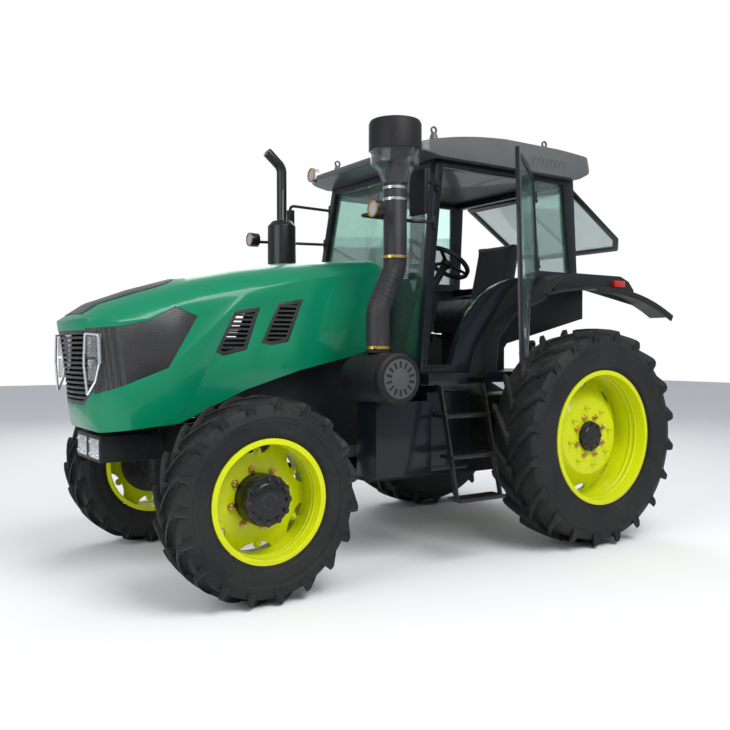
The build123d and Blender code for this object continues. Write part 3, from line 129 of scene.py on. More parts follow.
def area_lamp(name, place, target, size, power):
    """A square soft lamp that looks from its place at a target."""
    data = bpy.data.lights.new(name, "AREA")
    data.size = size
    data.energy = power
    lamp = bpy.data.objects.new(name, data)
    scene.collection.objects.link(lamp)
    lamp.location = place
    lamp.rotation_euler = (Vector(target) - Vector(place)).to_track_quat("-Z", "Y").to_euler()
    return lamp


tractor_middle = (0, -1.3, 1.3)
area_lamp("key", (6.5, -1.5, 7.5), tractor_middle, 5, 620)
area_lamp("front fill", (2.5, -9.5, 4.5), tractor_middle, 6, 330)
area_lamp("back rim", (-7, 2.5, 6), tractor_middle, 6, 330)
print("floor, world and", 3, "lamps")

# %% [markdown]
# Real paint, rubber and plastic are never one flat colour. Dust settles on what faces up, edges are
# painted lighter, partly as rubbed wear and partly as a painted highlight, and the surface has a grain.
# Each of those effects is a node group, built once and placed in every material that needs it with its
# own values.


# %% Groups: a helper, and the effect of dust and mottling
def new_group(name, inputs, outputs):
    """A shader node group with named sockets, and its input and output nodes."""
    group = bpy.data.node_groups.new(name, "ShaderNodeTree")
    for socket, kind, value in inputs:
        made = group.interface.new_socket(name=socket, in_out="INPUT", socket_type=kind)
        if value is not None:
            made.default_value = value
    for socket, kind in outputs:
        group.interface.new_socket(name=socket, in_out="OUTPUT", socket_type=kind)
    return group, group.nodes.new("NodeGroupInput"), group.nodes.new("NodeGroupOutput")


FLOAT, COLOUR, VECTOR = "NodeSocketFloat", "NodeSocketColor", "NodeSocketVector"


def blended(tree, factor, a, b):
    """A colour between a and b; each is a socket or a plain colour."""
    mix = tree.nodes.new("ShaderNodeMix")
    mix.data_type = "RGBA"
    for index, value in ((0, factor), (6, a), (7, b)):
        if hasattr(value, "links"):
            tree.links.new(value, mix.inputs[index])
        else:
            mix.inputs[index].default_value = value
    return mix.outputs[2]


def ranged(tree, value, low, high, to_low=0.0, to_high=1.0):
    """A value mapped smoothly from one range to another."""
    node = add_node(tree, "ShaderNodeMapRange", interpolation_type="SMOOTHSTEP")
    tree.links.new(value, node.inputs["Value"])
    for socket, number in (("From Min", low), ("From Max", high), ("To Min", to_low), ("To Max", to_high)):
        node.inputs[socket].default_value = number
    return node.outputs["Result"]


def maths(tree, operation, a, b):
    """One arithmetic step on sockets or numbers."""
    node = add_node(tree, "ShaderNodeMath", operation=operation)
    for index, value in enumerate((a, b)):
        if hasattr(value, "links"):
            tree.links.new(value, node.inputs[index])
        else:
            node.inputs[index].default_value = value
    return node.outputs[0]


def noise(tree, vector, scale, detail=3.0, roughness=0.5):
    """A noise pattern on a vector."""
    node = add_node(tree, "ShaderNodeTexNoise", Scale=scale, Detail=detail, Roughness=roughness)
    tree.links.new(vector, node.inputs["Vector"])
    return node.outputs["Fac"]


dust_group, dust_in, dust_out = new_group(
    "dust and mottling",
    [
        ("Vector", VECTOR, None),
        ("Colour", COLOUR, (0.5, 0.5, 0.5, 1)),
        ("Dust Colour", COLOUR, (0.3, 0.28, 0.25, 1)),
        ("Dust", FLOAT, 0.3),
        ("Mottle", FLOAT, 0.2),
        ("Rough", FLOAT, 0.4),
    ],
    [("Colour", COLOUR), ("Roughness", FLOAT), ("Mask", FLOAT)],
)
wide = noise(dust_group, dust_in.outputs["Vector"], 2.2, 5, 0.6)
fine = noise(dust_group, dust_in.outputs["Vector"], 38, 4, 0.65)
facing = add_node(dust_group, "ShaderNodeSeparateXYZ")
dust_group.links.new(add_node(dust_group, "ShaderNodeNewGeometry").outputs["Normal"], facing.inputs[0])
upward = ranged(dust_group, facing.outputs["Z"], 0.1, 1.0, 0.35, 1.0)
patches = ranged(
    dust_group,
    maths(dust_group, "ADD", wide, maths(dust_group, "MULTIPLY", fine, 0.5)),
    0.55,
    0.95,
)
mask = maths(
    dust_group,
    "MULTIPLY",
    maths(dust_group, "MULTIPLY", patches, upward),
    dust_in.outputs["Dust"],
)
darker = blended(
    dust_group,
    maths(dust_group, "MULTIPLY", wide, dust_in.outputs["Mottle"]),
    dust_in.outputs["Colour"],
    (0.0, 0.0, 0.0, 1),
)
dust_group.links.new(
    blended(dust_group, mask, darker, dust_in.outputs["Dust Colour"]),
    dust_out.inputs["Colour"],
)
rough = maths(dust_group, "ADD", dust_in.outputs["Rough"], maths(dust_group, "MULTIPLY", mask, 0.5))
rough = maths(
    dust_group,
    "ADD",
    rough,
    maths(dust_group, "MULTIPLY", maths(dust_group, "SUBTRACT", fine, 0.5), 0.12),
)
dust_group.links.new(rough, dust_out.inputs["Roughness"])
dust_group.links.new(mask, dust_out.inputs["Mask"])
print("group", dust_group.name)

# %% Group: worn edges with a painted highlight, found where the surface turns within a few millimetres
edge_group, edge_in, edge_out = new_group(
    "worn edges and painted highlight",
    [
        ("Vector", VECTOR, None),
        ("Colour", COLOUR, (0.5, 0.5, 0.5, 1)),
        ("Worn Colour", COLOUR, (0.4, 0.4, 0.4, 1)),
        ("Wear", FLOAT, 0.5),
    ],
    [("Colour", COLOUR), ("Mask", FLOAT)],
)
# The edge mask paints edges towards the edge colour: partly rubbed wear, partly a painted highlight.
soft_edge = add_node(edge_group, "ShaderNodeBevel", samples=4)
soft_edge.inputs["Radius"].default_value = 0.004
turning = add_node(edge_group, "ShaderNodeVectorMath", operation="DOT_PRODUCT")
edge_group.links.new(soft_edge.outputs[0], turning.inputs[0])
edge_group.links.new(add_node(edge_group, "ShaderNodeNewGeometry").outputs["Normal"], turning.inputs[1])
edge = ranged(edge_group, turning.outputs["Value"], 0.985, 0.8)
edge_breakup = ranged(edge_group, noise(edge_group, edge_in.outputs["Vector"], 30, 5, 0.7), 0.42, 0.62)
worn_and_highlight = maths(
    edge_group,
    "MULTIPLY",
    maths(edge_group, "MULTIPLY", edge, edge_breakup),
    edge_in.outputs["Wear"],
)
edge_group.links.new(
    blended(edge_group, worn_and_highlight, edge_in.outputs["Colour"], edge_in.outputs["Worn Colour"]),
    edge_out.inputs["Colour"],
)
edge_group.links.new(worn_and_highlight, edge_out.inputs["Mask"])
print("group", edge_group.name)

# %% Groups: cast grain, moulded grain and a weave, each a height for a Bump node
grain_group, grain_in, grain_out = new_group(
    "surface grain",
    [("Vector", VECTOR, None), ("Scale", FLOAT, 200.0), ("Cells", FLOAT, 0.5)],
    [("Height", FLOAT)],
)
speckle = add_node(grain_group, "ShaderNodeTexNoise", Detail=4.0)
cells = add_node(grain_group, "ShaderNodeTexVoronoi")
for node in (speckle, cells):
    grain_group.links.new(grain_in.outputs["Vector"], node.inputs["Vector"])
    grain_group.links.new(grain_in.outputs["Scale"], node.inputs["Scale"])
part_cells = maths(grain_group, "MULTIPLY", cells.outputs["Distance"], grain_in.outputs["Cells"])
grain_group.links.new(
    maths(grain_group, "ADD", speckle.outputs["Fac"], part_cells),
    grain_out.inputs["Height"],
)

weave_group, weave_in, weave_out = new_group(
    "plain weave", [
        ("Vector", VECTOR, None),
        ("Scale", FLOAT, 260.0),
    ], [("Height", FLOAT), ("Shade", FLOAT)]
)
threads = []
for direction in ("X", "Z"):
    wave = add_node(weave_group, "ShaderNodeTexWave", bands_direction=direction)
    weave_group.links.new(weave_in.outputs["Vector"], wave.inputs["Vector"])
    weave_group.links.new(weave_in.outputs["Scale"], wave.inputs["Scale"])
    threads.append(wave.outputs["Fac"])
crossing = maths(weave_group, "MAXIMUM", *threads)
weave_group.links.new(crossing, weave_out.inputs["Height"])
weave_group.links.new(ranged(weave_group, crossing, 0.2, 0.9), weave_out.inputs["Shade"])

mesh_group, mesh_in, mesh_out = new_group(
    "punched sheet", [
        ("Vector", VECTOR, None),
        ("Scale", FLOAT, 90.0),
    ], [("Height", FLOAT), ("Painted Hole Shade", FLOAT)]
)
holes = add_node(mesh_group, "ShaderNodeTexVoronoi", Randomness=0.0)
mesh_group.links.new(mesh_in.outputs["Vector"], holes.inputs["Vector"])
mesh_group.links.new(mesh_in.outputs["Scale"], holes.inputs["Scale"])
# The hole mask makes bumps and also darkens the colour: painted shade in holes that are not cut.
hole = ranged(mesh_group, holes.outputs["Distance"], 0.42, 0.34)
mesh_group.links.new(hole, mesh_out.inputs["Painted Hole Shade"])
mesh_group.links.new(maths(mesh_group, "SUBTRACT", 1.0, hole), mesh_out.inputs["Height"])
print("groups", [g.name for g in bpy.data.node_groups])

# %% [markdown]
# A finish is then a short recipe: a base colour, how much dust it shows, how far its edges are painted
# towards their edge colour as wear and painted highlight, how rough it is, and its grain. One helper places
# the groups, and plain numbers stay on the shader's own sockets.


# %% Finishes
def placed(tree, group, **values):
    """A group placed in a material: values are numbers, colours or sockets."""
    node = tree.nodes.new("ShaderNodeGroup")
    node.node_tree = group
    for key, value in values.items():
        socket = node.inputs[key.replace("_", " ")]
        if hasattr(value, "links"):
            tree.links.new(value, socket)
        else:
            socket.default_value = value
    return node


def finish(
    name,
    colour,
    rough,
    dust=0.2,
    mottle=0.15,
    wear_and_highlight=0.0,
    worn_and_highlight=(0.3, 0.3, 0.3, 1),
    grain=0.0,
    grain_scale=200.0,
    cells=0.0,
    bump_distance=0.0006,
    specular=0.22,
    **plain,
):
    """A material with dust, edges painted towards an edge colour as wear and painted highlight, and a grain;
    plain values go onto the shader's own sockets.
    """
    material, tree, shader = new_material(name)
    place = add_node(tree, "ShaderNodeTexCoord").outputs["Object"]
    tint = (*colour, 1)
    # Edges are painted towards the edge colour: partly wear, partly a painted highlight.
    if wear_and_highlight:
        tint = placed(
            tree,
            edge_group,
            Vector=place,
            Colour=tint,
            Worn_Colour=worn_and_highlight,
            Wear=wear_and_highlight,
        ).outputs["Colour"]
    dusty = placed(
        tree,
        dust_group,
        Vector=place,
        Colour=tint,
        Dust_Colour=(0.2, 0.19, 0.17, 1),
        Dust=dust,
        Mottle=mottle,
        Rough=rough,
    )
    tree.links.new(dusty.outputs["Colour"], shader.inputs["Base Color"])
    tree.links.new(dusty.outputs["Roughness"], shader.inputs["Roughness"])
    if grain:
        height = placed(tree, grain_group, Vector=place, Scale=grain_scale, Cells=cells).outputs["Height"]
        bump = add_node(tree, "ShaderNodeBump", Strength=grain, Distance=bump_distance)
        tree.links.new(height, bump.inputs["Height"])
        tree.links.new(bump.outputs[0], shader.inputs["Normal"])
    shader.inputs["Specular IOR Level"].default_value = specular
    for socket, value in plain.items():
        shader.inputs[socket.replace("_", " ")].default_value = value
    return material


# The light grey edge colour of black parts: bare metal wear and a painted highlight.
bare_metal_and_highlight = (0.45, 0.45, 0.45, 1)
finishes = {
    "tyre": finish(
        "tyre rubber",
        (0.010, 0.011, 0.012),
        0.6,
        dust=0.18,
        mottle=0.3,
        grain=0.35,
        grain_scale=320,
        bump_distance=0.001,
    ),
    "rim_paint": finish(
        "rim paint",
        (0.6, 0.66, 0.001),
        0.35,
        dust=0.04,
        mottle=0.1,
        wear_and_highlight=0.25,
        worn_and_highlight=(0.35, 0.38, 0.1, 1),
        grain=0.08,
        grain_scale=160,
        Coat_Weight=0.2,
        Coat_Roughness=0.12,
    ),
    "black_casting": finish(
        "black casting",
        (0.006, 0.006, 0.007),
        0.36,
        dust=0.08,
        wear_and_highlight=0.4,
        worn_and_highlight=bare_metal_and_highlight,
        grain=0.35,
        grain_scale=420,
        cells=0.3,
        bump_distance=0.0008,
        Coat_Weight=0.3,
    ),
    "frame_paint": finish(
        "frame paint",
        (0.008, 0.009, 0.011),
        0.45,
        dust=0.12,
        mottle=0.3,
        wear_and_highlight=0.3,
        worn_and_highlight=bare_metal_and_highlight,
        grain=0.3,
        grain_scale=300,
        cells=0.2,
    ),
    "radiator_metal": finish(
        "radiator metal",
        (0.12, 0.12, 0.12),
        0.5,
        dust=0.3,
        grain=0.3,
        grain_scale=700,
        Metallic=0.8,
    ),
    "hood_paint": finish(
        "hood paint",
        (0.0, 0.2, 0.095),
        0.3,
        dust=0.02,
        mottle=0.12,
        wear_and_highlight=0.08,
        worn_and_highlight=(0.05, 0.25, 0.13, 1),
        grain=0.03,
        grain_scale=900,
        Coat_Weight=0.3,
        Coat_Roughness=0.05,
    ),
    "cab_paint": finish(
        "cab paint",
        (0.005, 0.007, 0.011),
        0.3,
        dust=0.03,
        mottle=0.2,
        wear_and_highlight=0.25,
        worn_and_highlight=(0.2, 0.2, 0.22, 1),
        grain=0.05,
        grain_scale=600,
        Coat_Weight=0.25,
        Coat_Roughness=0.08,
    ),
    "roof_plastic": finish(
        "roof plastic",
        (0.085, 0.09, 0.093),
        0.38,
        dust=0.35,
        mottle=0.2,
        grain=0.2,
        grain_scale=500,
        cells=0.5,
        Coat_Weight=0.3,
    ),
    "trim_plastic": finish(
        "trim plastic",
        (0.008, 0.008, 0.009),
        0.5,
        dust=0.07,
        grain=0.4,
        grain_scale=650,
        cells=0.8,
    ),
    "fender_plastic": finish(
        "fender plastic",
        (0.012, 0.013, 0.015),
        0.45,
        dust=0.08,
        mottle=0.2,
        wear_and_highlight=0.15,
        worn_and_highlight=(0.15, 0.15, 0.16, 1),
        grain=0.25,
        grain_scale=550,
        cells=0.6,
    ),
    "rubber_hose": finish("rubber hose", (0.018, 0.018, 0.02), 0.42, dust=0.2, grain=0.2, grain_scale=400),
    "bright_steel": finish(
        "bright steel",
        (0.55, 0.55, 0.56),
        0.28,
        dust=0.15,
        grain=0.15,
        grain_scale=500,
        Metallic=1.0,
    ),
    "gold_zinc": finish(
        "gold zinc",
        (0.62, 0.42, 0.12),
        0.3,
        dust=0.15,
        grain=0.15,
        grain_scale=500,
        Metallic=1.0,
    ),
    "red_lens": finish(
        "red lens",
        (0.5, 0.008, 0.008),
        0.12,
        dust=0.08,
        grain=0.25,
        grain_scale=180,
        cells=1.0,
        Coat_Weight=1.0,
    ),
    "lamp_silver": finish(
        "lamp silver",
        (0.7, 0.72, 0.74),
        0.2,
        dust=0.05,
        grain=0.1,
        grain_scale=200,
        Metallic=0.9,
    ),
    "amber_ring": finish(
        "amber ring",
        (0.35, 0.16, 0.03),
        0.25,
        dust=0.05,
        grain=0.1,
        grain_scale=200,
        Coat_Weight=0.6,
    ),
    "filter_cover": finish(
        "filter cover",
        (0.06, 0.062, 0.066),
        0.42,
        dust=0.2,
        grain=0.3,
        grain_scale=500,
        cells=0.6,
    ),
}


def glass_finish(name, colour, alpha, rough=0.02, bumpiness=0.0):
    """A clear finish: light passes and a share of it skips the pane, so the inside stays lit."""
    material, tree, shader = new_material(name)
    place = add_node(tree, "ShaderNodeTexCoord").outputs["Object"]
    dusty = placed(
        tree,
        dust_group,
        Vector=place,
        Colour=(*colour, 1),
        Dust_Colour=(0.5, 0.5, 0.48, 1),
        Dust=0.08,
        Mottle=0.05,
        Rough=rough,
    )
    tree.links.new(dusty.outputs["Colour"], shader.inputs["Base Color"])
    tree.links.new(
        ranged(tree, dusty.outputs["Mask"], 0.0, 0.1, rough, rough + 0.15),
        shader.inputs["Roughness"],
    )
    if bumpiness:
        height = placed(tree, grain_group, Vector=place, Scale=150.0, Cells=1.0).outputs["Height"]
        bump = add_node(tree, "ShaderNodeBump", Strength=bumpiness, Distance=0.002)
        tree.links.new(height, bump.inputs["Height"])
        tree.links.new(bump.outputs[0], shader.inputs["Normal"])
    shader.inputs["Transmission Weight"].default_value = 0.9
    shader.inputs["IOR"].default_value = 1.45
    shader.inputs["Alpha"].default_value = alpha
    return material


finishes["glass"] = glass_finish("cab glass", (0.2, 0.44, 0.34), 0.55)
finishes["lamp_glass"] = glass_finish("lamp glass", (0.9, 0.92, 0.95), 0.6, 0.03, 0.3)
finishes["smoky_clear"] = glass_finish("smoky clear plastic", (0.3, 0.3, 0.3), 0.55, 0.06)

fabric_material, fabric_tree, fabric_shader = new_material("seat fabric")
fabric_place = add_node(fabric_tree, "ShaderNodeTexCoord").outputs["Object"]
weave = placed(fabric_tree, weave_group, Vector=fabric_place, Scale=170.0)
fabric_dust = placed(
    fabric_tree,
    dust_group,
    Vector=fabric_place,
    Colour=(0.022, 0.024, 0.03, 1),
    Dust=0.1,
    Mottle=0.3,
    Rough=0.85,
)
fabric_tree.links.new(
    blended(fabric_tree, weave.outputs["Shade"], (0.008, 0.009, 0.012, 1), fabric_dust.outputs["Colour"]),
    fabric_shader.inputs["Base Color"],
)
fabric_tree.links.new(fabric_dust.outputs["Roughness"], fabric_shader.inputs["Roughness"])
fabric_bump = add_node(fabric_tree, "ShaderNodeBump", Strength=0.5, Distance=0.0008)
fabric_tree.links.new(weave.outputs["Height"], fabric_bump.inputs["Height"])
fabric_tree.links.new(fabric_bump.outputs[0], fabric_shader.inputs["Normal"])
fabric_shader.inputs["Sheen Weight"].default_value = 0.3
finishes["seat_fabric"] = fabric_material

sheet_material, sheet_tree, sheet_shader = new_material("punched sheet")
sheet_place = add_node(sheet_tree, "ShaderNodeTexCoord").outputs["Object"]
punched = placed(sheet_tree, mesh_group, Vector=sheet_place, Scale=80.0)
sheet_dust = placed(
    sheet_tree,
    dust_group,
    Vector=sheet_place,
    Colour=(0.03, 0.031, 0.034, 1),
    Dust=0.15,
    Rough=0.35,
)
# The holes are painted near black: painted shade for the dark seen through them.
sheet_tree.links.new(
    blended(sheet_tree, punched.outputs["Painted Hole Shade"], sheet_dust.outputs["Colour"], (0.001, 0.001, 0.001, 1)),
    sheet_shader.inputs["Base Color"],
)
sheet_tree.links.new(sheet_dust.outputs["Roughness"], sheet_shader.inputs["Roughness"])
sheet_bump = add_node(sheet_tree, "ShaderNodeBump", Strength=0.9, Distance=0.003)
sheet_tree.links.new(punched.outputs["Height"], sheet_bump.inputs["Height"])
sheet_tree.links.new(sheet_bump.outputs[0], sheet_shader.inputs["Normal"])
finishes["punched_sheet"] = sheet_material
print(len(finishes), "finishes")

# %% [markdown]
# Modelling by hand in Blender is a short list of moves: add a primitive, extrude, bevel, spin, merge. The
# helpers below are those moves, with the selection always cleared first, because every operator acts on
# all that is selected. A finished piece keeps its object at the origin and its place in its mesh.


# %% Helpers: selection, edit mode and the last touches
def only(obj):
    """Selects one object and makes it the active one."""
    bpy.ops.object.select_all(action="DESELECT")
    obj.select_set(True)
    bpy.context.view_layer.objects.active = obj


def edited(obj, *steps):
    """Runs mesh operators on all of an object in edit mode; each step is (operator, settings)."""
    only(obj)
    bpy.ops.object.mode_set(mode="EDIT")
    for operator, settings in steps:
        bpy.ops.mesh.select_all(action="SELECT")
        operator(**settings)
    bpy.ops.object.mode_set(mode="OBJECT")
    return obj


def rounded(obj, width, segments=2, angle=35):
    """Bevels an object's sharp edges and shades it smooth between them."""
    only(obj)
    if width:
        modifier = obj.modifiers.new("bevel", "BEVEL")
        modifier.width, modifier.segments = width, segments
        modifier.limit_method, modifier.angle_limit = "ANGLE", radians(angle)
        modifier.use_clamp_overlap = True
        bpy.ops.object.modifier_apply(modifier="bevel")
    bpy.ops.object.shade_smooth_by_angle(angle=radians(angle))
    return obj


pieces = {}


def done(obj, name, body, finish_name, replaces=()):
    """Names a finished piece, gives it its finish and lets it ride on its body."""
    obj.name = name
    obj.data.name = name
    obj.data.materials.clear()
    obj.data.materials.append(finishes[finish_name])
    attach(obj, body)
    if replaces:
        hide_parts(*replaces)
    pieces[name] = obj
    return obj


node_body = {name: body for body, names in frame["record"]["behaviour"]["bodies"].items() for name in names}
node_slot = {part["node"]: part["material_slot"] for part in frame["record"]["subparts"]}
print(len(node_slot), "nodes with a finish")

# %% [markdown]
# The rebuilt solids come in as loose triangles. Where their shape is right, a copy is welded, its flat
# triangles are dissolved into whole faces, and its edges are rounded, since no real edge is perfectly
# sharp: that thin highlight along each edge is what makes sheet metal look real.


# %% Helper: a welded and rounded copy of a rebuilt solid
def refined(node, width=0.003, segments=2, angle=35, name=None, finish_name=None):
    """A copy of a solid, welded, with rounded edges, that stands for it."""
    source = frame["nodes"][node]
    copy = source.copy()
    copy.data = source.data.copy()
    for key in list(copy.keys()):
        del copy[key]
    copy.parent = None
    scene.collection.objects.link(copy)
    edited(
        copy,
        (bpy.ops.mesh.customdata_custom_splitnormals_clear, {}),
        (bpy.ops.mesh.remove_doubles, {"threshold": 0.00002}),
        (bpy.ops.mesh.dissolve_limited, {"angle_limit": radians(0.6)}),
    )
    rounded(copy, width, segments, angle)
    return done(copy, name or node + "_shaped", node_body[node], finish_name or node_finish(node), [node])


def node_finish(node):
    """The finish that the record gives a node."""
    return node_slot.get(node) or "frame_paint"

# %% Refine the solids whose shape is right
plain_nodes = {"engine_block", "seat_base"}
glass_nodes = {"cab_glass", "door_left_glass", "door_right_glass", "rear_window_glass"}
edge_width = {
    "roof": 0.012,
    "dash": 0.012,
    "fuel_tanks": 0.006,
    "toolbox": 0.008,
    "fenders": 0.004,
    "hood_shell": 0.003,
    "mirrors": 0.006,
    "transmission": 0.01,
    "front_axle": 0.008,
}
for node in sorted(frame["nodes"]):
    if "tyre" in node or node in ("seat_cushions", "precleaner"):
        continue
    if node in plain_nodes or node in glass_nodes:
        target = frame["nodes"][node]
        target.data.materials.clear()
        target.data.materials.append(finishes[node_finish(node)])
        continue
    refined(
        node,
        edge_width.get(node, 0.002),
        finish_name="punched_sheet" if node == "hood_grille" else None,
    )
print(len(pieces), "pieces so far")

# %% [markdown]
# Two ways of making a form come back again and again. A turned form, such as a rim's edge, is a closed
# outline that is spun round an axis. A drawn-out form, such as a lug of a tyre or a bent tube, is a grid
# whose rows of points are moved into place one after the other and then closed at its ends.


# %% Helpers: rows of points, turned outlines, tubes and copies
def row_surface(rows, wrap=True, caps=True):
    """A surface through rows of points: a grid primitive whose points are moved into place."""
    height, width = len(rows), len(rows[0]) + (1 if wrap else 0)
    bpy.ops.object.select_all(action="DESELECT")
    bpy.ops.mesh.primitive_grid_add(
        x_subdivisions=width - 1,
        y_subdivisions=height - 1,
        size=1,
        location=(0, 0, 0),
    )
    obj = bpy.context.object
    for vertex in obj.data.vertices:
        column = round((vertex.co.x + 0.5) * (width - 1)) % len(rows[0])
        row = round((vertex.co.y + 0.5) * (height - 1))
        vertex.co = Vector(rows[row][column])
    steps = [(bpy.ops.mesh.remove_doubles, {"threshold": 0.00001})]
    if caps:
        steps.append((bpy.ops.mesh.fill_holes, {"sides": 0}))
    steps.append((bpy.ops.mesh.normals_make_consistent, {"inside": False}))
    return edited(obj, *steps)


near_axis = 0.0005


def turned_ring(outline, centre, axis=(1, 0, 0), steps=72):
    """A closed outline of (along the axis, radius) points, spun round the axis."""
    axis = Vector(axis).normalized()
    side = axis.orthogonal().normalized()
    bpy.ops.object.select_all(action="DESELECT")
    bpy.ops.mesh.primitive_circle_add(vertices=len(outline), radius=1, location=(0, 0, 0))
    obj = bpy.context.object
    for vertex, (along, radius) in zip(obj.data.vertices, outline):
        vertex.co = Vector(centre) + axis * along + side * radius
    return edited(
        obj,
        (bpy.ops.mesh.spin, {"steps": steps, "angle": 2 * pi, "center": centre, "axis": axis}),
        (bpy.ops.mesh.remove_doubles, {"threshold": 0.00005}),
        (bpy.ops.mesh.dissolve_degenerate, {"threshold": 0.00001}),
        (bpy.ops.mesh.normals_make_consistent, {"inside": False}),
    )


def bent_path(points, bend, steps=6):
    """The points of a line whose corners are rounded by arcs of about the given radius."""
    points = [Vector(p) for p in points]
    path = [points[0]]
    for before, corner, after in zip(points, points[1:], points[2:]):
        back, on = (before - corner), (after - corner)
        reach = min(bend, back.length * 0.48, on.length * 0.48)
        start, end = corner + back.normalized() * reach, corner + on.normalized() * reach
        for step in range(steps + 1):
            t = step / steps
            path.append(start * (1 - t) ** 2 + corner * 2 * t * (1 - t) + end * t**2)
    return path + [points[-1]]


def tube(points, radius, bend=0.05, sides=16):
    """A round tube along a bent path; radius is a number or a function of the share of the way."""
    path = bent_path(points, bend)
    lengths = [0.0]
    for a, b in zip(path, path[1:]):
        lengths.append(lengths[-1] + (b - a).length)
    rows = []
    side = (path[1] - path[0]).orthogonal().normalized()
    for index, point in enumerate(path):
        run = (path[min(index + 1, len(path) - 1)] - path[max(index - 1, 0)]).normalized()
        side = (side - run * side.dot(run)).normalized()
        up = run.cross(side)
        size = radius(lengths[index] / lengths[-1]) if callable(radius) else radius
        turns = [2 * pi * k / sides for k in range(sides)]
        rows.append([point + (side * cos(turn) + up * sin(turn)) * size for turn in turns])
    return row_surface(rows)


def joined(objects):
    """Several objects made one."""
    bpy.ops.object.select_all(action="DESELECT")
    for obj in objects:
        obj.select_set(True)
    bpy.context.view_layer.objects.active = objects[0]
    bpy.ops.object.join()
    return objects[0]


def copy_at(obj, matrix):
    """A copy with its own mesh, moved by a matrix; a mirrored one is turned right side out."""
    copy = obj.copy()
    copy.data = obj.data.copy()
    copy.data.transform(matrix)
    scene.collection.objects.link(copy)
    if matrix.determinant() < 0:
        edited(copy, (bpy.ops.mesh.flip_normals, {}))
    return copy


def away(obj):
    """Takes a model that was only copied out of the scene."""
    bpy.data.objects.remove(obj)


def round_wheel(angle, centre):
    """The matrix that turns a piece round a wheel's axle."""
    return Matrix.Translation(centre) @ Matrix.Rotation(angle, 4, "X") @ Matrix.Translation(-Vector(centre))


mirror_x = Matrix.Diagonal((-1, 1, 1, 1))

# %% [markdown]
# The tyres are the tractor's hardest form. A farm tyre has a smooth bulging sidewall with rings near the
# rim, and two rows of high bars that meet in a V and end on the sidewall in a wedge with a pocket. One bar
# is modelled for each side and copied round, half a pitch apart, so that all of them are alike.


# %% Tyres
def tyre(node_stem, centre, radius, half, rim_radius, count, height, width, sweep):
    """A lugged tyre for both sides of the tractor."""
    crown = radius - height
    shape = [
        (0.78, rim_radius + 0.003), (0.84, rim_radius + 0.004),
        (0.865, rim_radius + 0.012), (0.88, rim_radius + 0.012),
        (0.885, rim_radius + 0.018), (0.905, rim_radius + 0.018),
        (0.91, rim_radius + 0.026), (0.93, rim_radius + 0.028),
        (0.97, rim_radius + 0.07), (0.995, rim_radius + 0.115), (1.0, crown - 0.105), (0.99, crown - 0.083),
        (1.0, crown - 0.08), (0.995, crown - 0.074), (0.975, crown - 0.068), (0.93, crown - 0.03),
        (0.86, crown - 0.012), (0.7, crown - 0.006), (0.35, crown - 0.001),
    ]
    outline = [(x * half, r) for x, r in shape] + [(-x * half, r) for x, r in shape[::-1]]
    outline += [(-0.7 * half, rim_radius + 0.01), (0.7 * half, rim_radius + 0.01)]
    carcass = rounded(turned_ring(outline, centre, steps=96), 0, angle=28)
    bars = []
    stations = [
        (0.0, 0.02, 0.0, -0.1, 1.15, 1.75), (0.22, 0.24, 0.0, -0.1, 1.1, 1.7), (
            0.5,
            0.52,
            -0.03,
            -0.1,
            1.05,
            1.6,
        ),
        (
            0.8,
            0.8,
            -0.12,
            -0.2,
            0.95,
            1.45,
        ), (1.0, 0.975, -0.3, -0.7, 0.85, 1.4), (1.0, 1.012, -1.1, -1.3, 1.3, 1.6),
        (1.0, 0.985, -2.35, -2.45, 1.75, 1.8),
    ]
    for side in (1, -1):
        rows = []
        for u, x, top, base, top_width, base_width in stations:
            turn = radians(sweep) * (0.5 - 0.5 * u - 0.5 * sin(u * pi / 2))
            outer = radius + top * height
            inner = min(crown + base * height, outer - 0.002)
            across_base = side * half * (x if u < 1 else min(x, 0.94))
            row = []
            for place, distance, span in (
                (across_base, inner, -base_width),
                (side * half * x, outer, -top_width),
                (side * half * x, outer, top_width),
                (across_base, inner, base_width),
            ):
                angle = turn + span * width / 2 / radius
                row.append(Vector(centre) + Vector((place, cos(angle) * distance, sin(angle) * distance)))
            rows.append(row)
        bar = row_surface(rows)
        only(bar)
        bpy.ops.object.mode_set(mode="EDIT")
        bpy.ops.mesh.select_all(action="DESELECT")
        bm = bmesh.from_edit_mesh(bar.data)
        for face in bm.faces:
            face.select = face.normal.x * side > 0.75 and len(face.verts) == 4 and face.calc_area() > 0.0008
        bmesh.update_edit_mesh(bar.data)
        bpy.ops.mesh.inset(thickness=0.007, depth=-0.007)
        bpy.ops.object.mode_set(mode="OBJECT")
        rounded(bar, 0.004, 2, 30)
        for number in range(count):
            angle = 2 * pi * (number + (0 if side > 0 else 0.5)) / count
            bars.append(copy_at(bar, round_wheel(angle, centre)))
        away(bar)
    whole = joined([carcass, *bars])
    body = node_stem.split("_")[0] + "_wheel_"
    right = copy_at(whole, mirror_x)
    done(whole, f"{node_stem}_tread_left", body + "left", "tyre", [f"{node_stem}_left"])
    done(right, f"{node_stem}_tread_right", body + "right", "tyre", [f"{node_stem}_right"])
    return whole


rear_centre, front_centre = Vector((1.0, 0, 0.805)), Vector((0.95, -2.7, 0.595))
rear_tyre = tyre("rear_tyre", rear_centre, 0.805, 0.215, 0.495, 20, 0.042, 0.046, 17)
front_tyre = tyre("front_tyre", front_centre, 0.595, 0.165, 0.358, 19, 0.036, 0.036, 19)
print("rear tyre", len(rear_tyre.data.polygons), "faces, front tyre", len(front_tyre.data.polygons))

# %% [markdown]
# A wheel bolt is a six-sided nut with a rounded washer face and the end of its stud showing. It is modelled
# once, pointing outwards along X, and then set round each hub and rim. The nuts on the discs are zinc
# plated and look like old gold, while those that hold the rims are painted over with the rim.


